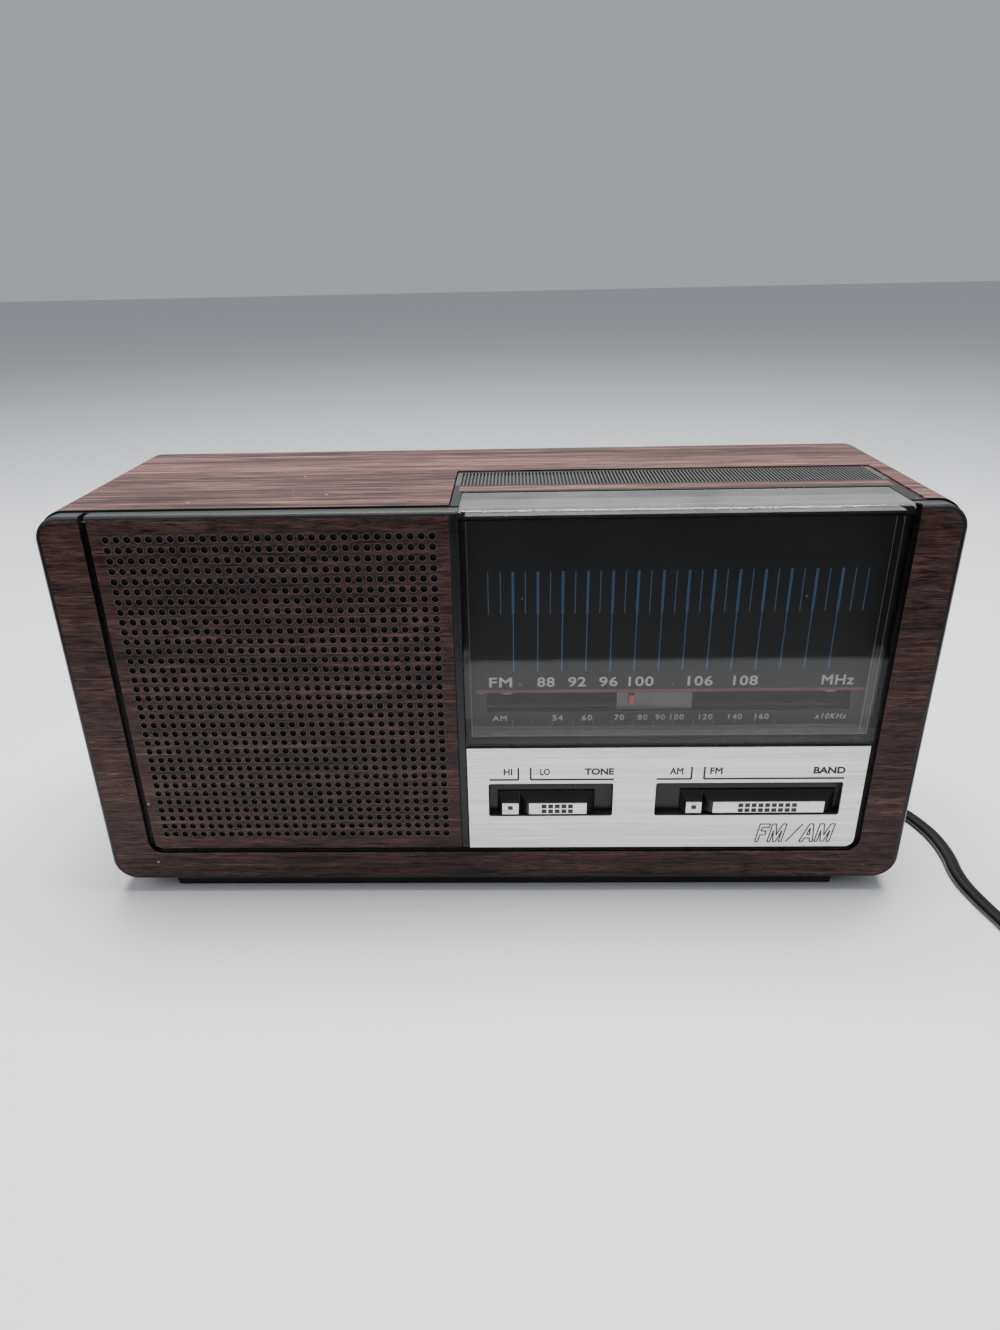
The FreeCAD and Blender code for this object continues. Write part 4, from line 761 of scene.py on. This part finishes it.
def make_window_glints(materials):
    """The light that the window's inside corners catch, as fine lines on its inner face."""
    inner_face = 2.3
    left, right, bottom, top = -9.0, 124.9, 63.6, 138.0
    glints = Drawing(inner_face, 0.05)
    for x in (left, right, right - 2.4):
        glints.bar(x - 0.11, x + 0.11, bottom, top)
    glints.bar(left, right, bottom - 0.13, bottom + 0.13)
    # Painted glints, drawn as a mesh of light lines.
    glints.finish("painted_window_edge_glints", materials["glint"], "cabinet", "clear_plastic")


# ---------------------------------------------------------------- control panel printing

LETTER_F = [
    [
        (0, 0), (0.30, 0), (0.30, 0.38), (0.80, 0.38), (0.80, 0.60),
        (0.30, 0.60), (0.30, 0.80), (1, 0.80), (1, 1), (0, 1),
    ],
]
LETTER_M = [
    [
        (0, 0), (0.20, 0), (0.20, 0.62), (0.40, 0), (0.60, 0), (0.80, 0.62),
        (0.80, 0), (1, 0), (1, 1), (0.72, 1), (0.50, 0.36), (0.28, 1), (0, 1),
    ],
]
LETTER_A = [
    [(0, 0), (0.24, 0), (0.32, 0.2), (0.68, 0.2), (0.76, 0), (1, 0), (0.64, 1), (0.36, 1)],
    [(0.39, 0.38), (0.61, 0.38), (0.50, 0.76)],
]


def make_panel_print(materials):
    print_ = Drawing(0.0)
    stroke = 0.66
    letter_bottom, letter_top, line, upright_height = 49.3, 52.0, 47.5, 4.8
    for text, left, right, weight in (
        ("HI", 1.6, 4.6, 0.030),
        ("LO", 14.3, 17.7, 0.030),
        ("TONE", 29.7, 39.9, 0.042),
        ("AM", 59.1, 63.8, 0.030),
        ("FM", 73.0, 77.3, 0.030),
        ("BAND", 108.4, 119.3, 0.042),
    ):
        print_.words(text, left, right, letter_bottom, letter_top, weight)
    for left, right, upright in (
        (-3.5, 6.7, 6.7),
        (11.0, 40.0, 11.0),
        (54.7, 66.7, 66.7),
        (71.1, 119.3, 71.1),
    ):
        print_.bar(left, right, line - stroke / 2, line + stroke / 2)
        print_.bar(upright - stroke / 2, upright + stroke / 2, line, line + upright_height)
    bottom, top, lean, fine = 21.4, 28.8, 1.3, 0.42
    for letter, left, right in (
        (LETTER_F, 91.3, 94.9),
        (LETTER_M, 95.7, 100.7),
        (LETTER_A, 107.0, 111.9),
        (LETTER_M, 112.4, 117.7),
    ):
        for ring in letter:
            print_.outline(ring, left, right, bottom, top, lean, fine)
    print_.line((102.3, bottom), (107.6, top), fine)
    print_.finish("panel_lettering", materials["black_ink"], "cabinet", "brushed_silver")


def make_knob_squares(materials):
    """One square on each knob's narrow tab, and two rows of them on its wide part."""
    pitch, row_offset, half_width, half_height = 2.33, 1.02, 0.86, 0.76
    for name, body, tab, tab_height, first, columns, middle in (
        ("tone", "tone_slider", 3.8, 36.5, 15.7, 5, 36.05),
        ("band", "band_slider", 68.3, 36.5, 84.7, 9, 36.15),
    ):
        squares = Drawing(-0.8)
        places = [(tab, tab_height)]
        for column in range(columns):
            places += [(first + pitch * column, middle + side * row_offset) for side in (-1, 1)]
        for x, height in places:
            squares.bar(x - half_width, x + half_width, height - half_height, height + half_height)
        squares.finish(f"{name}_knob_squares", materials["black_ink"], body, "knob_black")


# ---------------------------------------------------------------- studio


def make_studio():
    bpy.ops.mesh.primitive_plane_add(size=14.0, location=(0, 0, 0))
    floor = bpy.context.object
    floor.name = "floor"
    paint = Paint("pale_floor", Roughness=0.55)
    tone = paint.noise(paint.stretched(5, 5, 5), 3)
    pale = paint.mix(tone, (0.745, 0.75, 0.76), (0.79, 0.795, 0.805))
    # Painted shade: the floor darkens further back, standing in for the lamps' light falling off.
    painted_falloff_share = paint.ramp(paint.axes()[1], [(0.15, 0.0), (0.9, 1.0)], smooth=True)
    paint.give(paint.shader, "Base Color", paint.mix(painted_falloff_share, pale, (0.60, 0.61, 0.64)))
    floor.data.materials.append(paint.material)

    # A dark card in front that only reflections see, as a studio uses to keep gloss deep.
    bpy.ops.mesh.primitive_plane_add(size=1.0)
    card = bpy.context.object
    card.name = "dark_card"
    near, far, half_width, lift = -213.0, -2400.0, 2000.0, 2.0
    card.data.clear_geometry()
    card.data.from_pydata(
        [
            tuple(at(-half_width, far, lift)),
            tuple(at(half_width, far, lift)),
            tuple(at(half_width, near, lift)),
            tuple(at(-half_width, near, lift)),
        ],
        [],
        [(0, 1, 2, 3)],
    )
    dark = Paint("dark_card", Roughness=1.0)
    felt = dark.noise(dark.stretched(50, 50, 50), 2)
    black = dark.mix(felt, (0.006, 0.006, 0.006), (0.012, 0.012, 0.012))
    dark.give(dark.shader, "Base Color", black)
    card.data.materials.append(dark.material)
    card.visible_camera = False
    card.visible_diffuse = False
    card.visible_shadow = False
    card.visible_transmission = False

    world = bpy.data.worlds.new("studio")
    world.use_nodes = True
    background = world.node_tree.nodes["Background"]
    background.inputs["Color"].default_value = (0.88, 0.91, 0.96, 1.0)
    background.inputs["Strength"].default_value = 0.44
    bpy.context.scene.world = world

    def lamp(name, place, target, width, height, power):
        light = bpy.data.lights.new(name, "AREA")
        light.shape = "RECTANGLE"
        light.size, light.size_y = width, height
        light.energy = power
        made = bpy.data.objects.new(name, light)
        made.location = place
        direction = Vector(target) - Vector(place)
        made.rotation_euler = direction.to_track_quat("-Z", "Y").to_euler()
        bpy.context.scene.collection.objects.link(made)

    lamp("overhead", (0.05, 0.18, 1.25), (0.02, 0.0, 0), 1.0, 0.6, 40.0)
    lamp("left_fill", (-1.2, -0.6, 0.8), (0, 0, 0.07), 0.8, 0.8, 5.0)


# ---------------------------------------------------------------- build

make_camera()
materials = make_materials()
make_cord(materials)
paint_nodes(materials)
make_grille_rims(materials)
make_dial_print(materials)
make_window_glints(materials)
make_panel_print(materials)
make_knob_squares(materials)
make_studio()
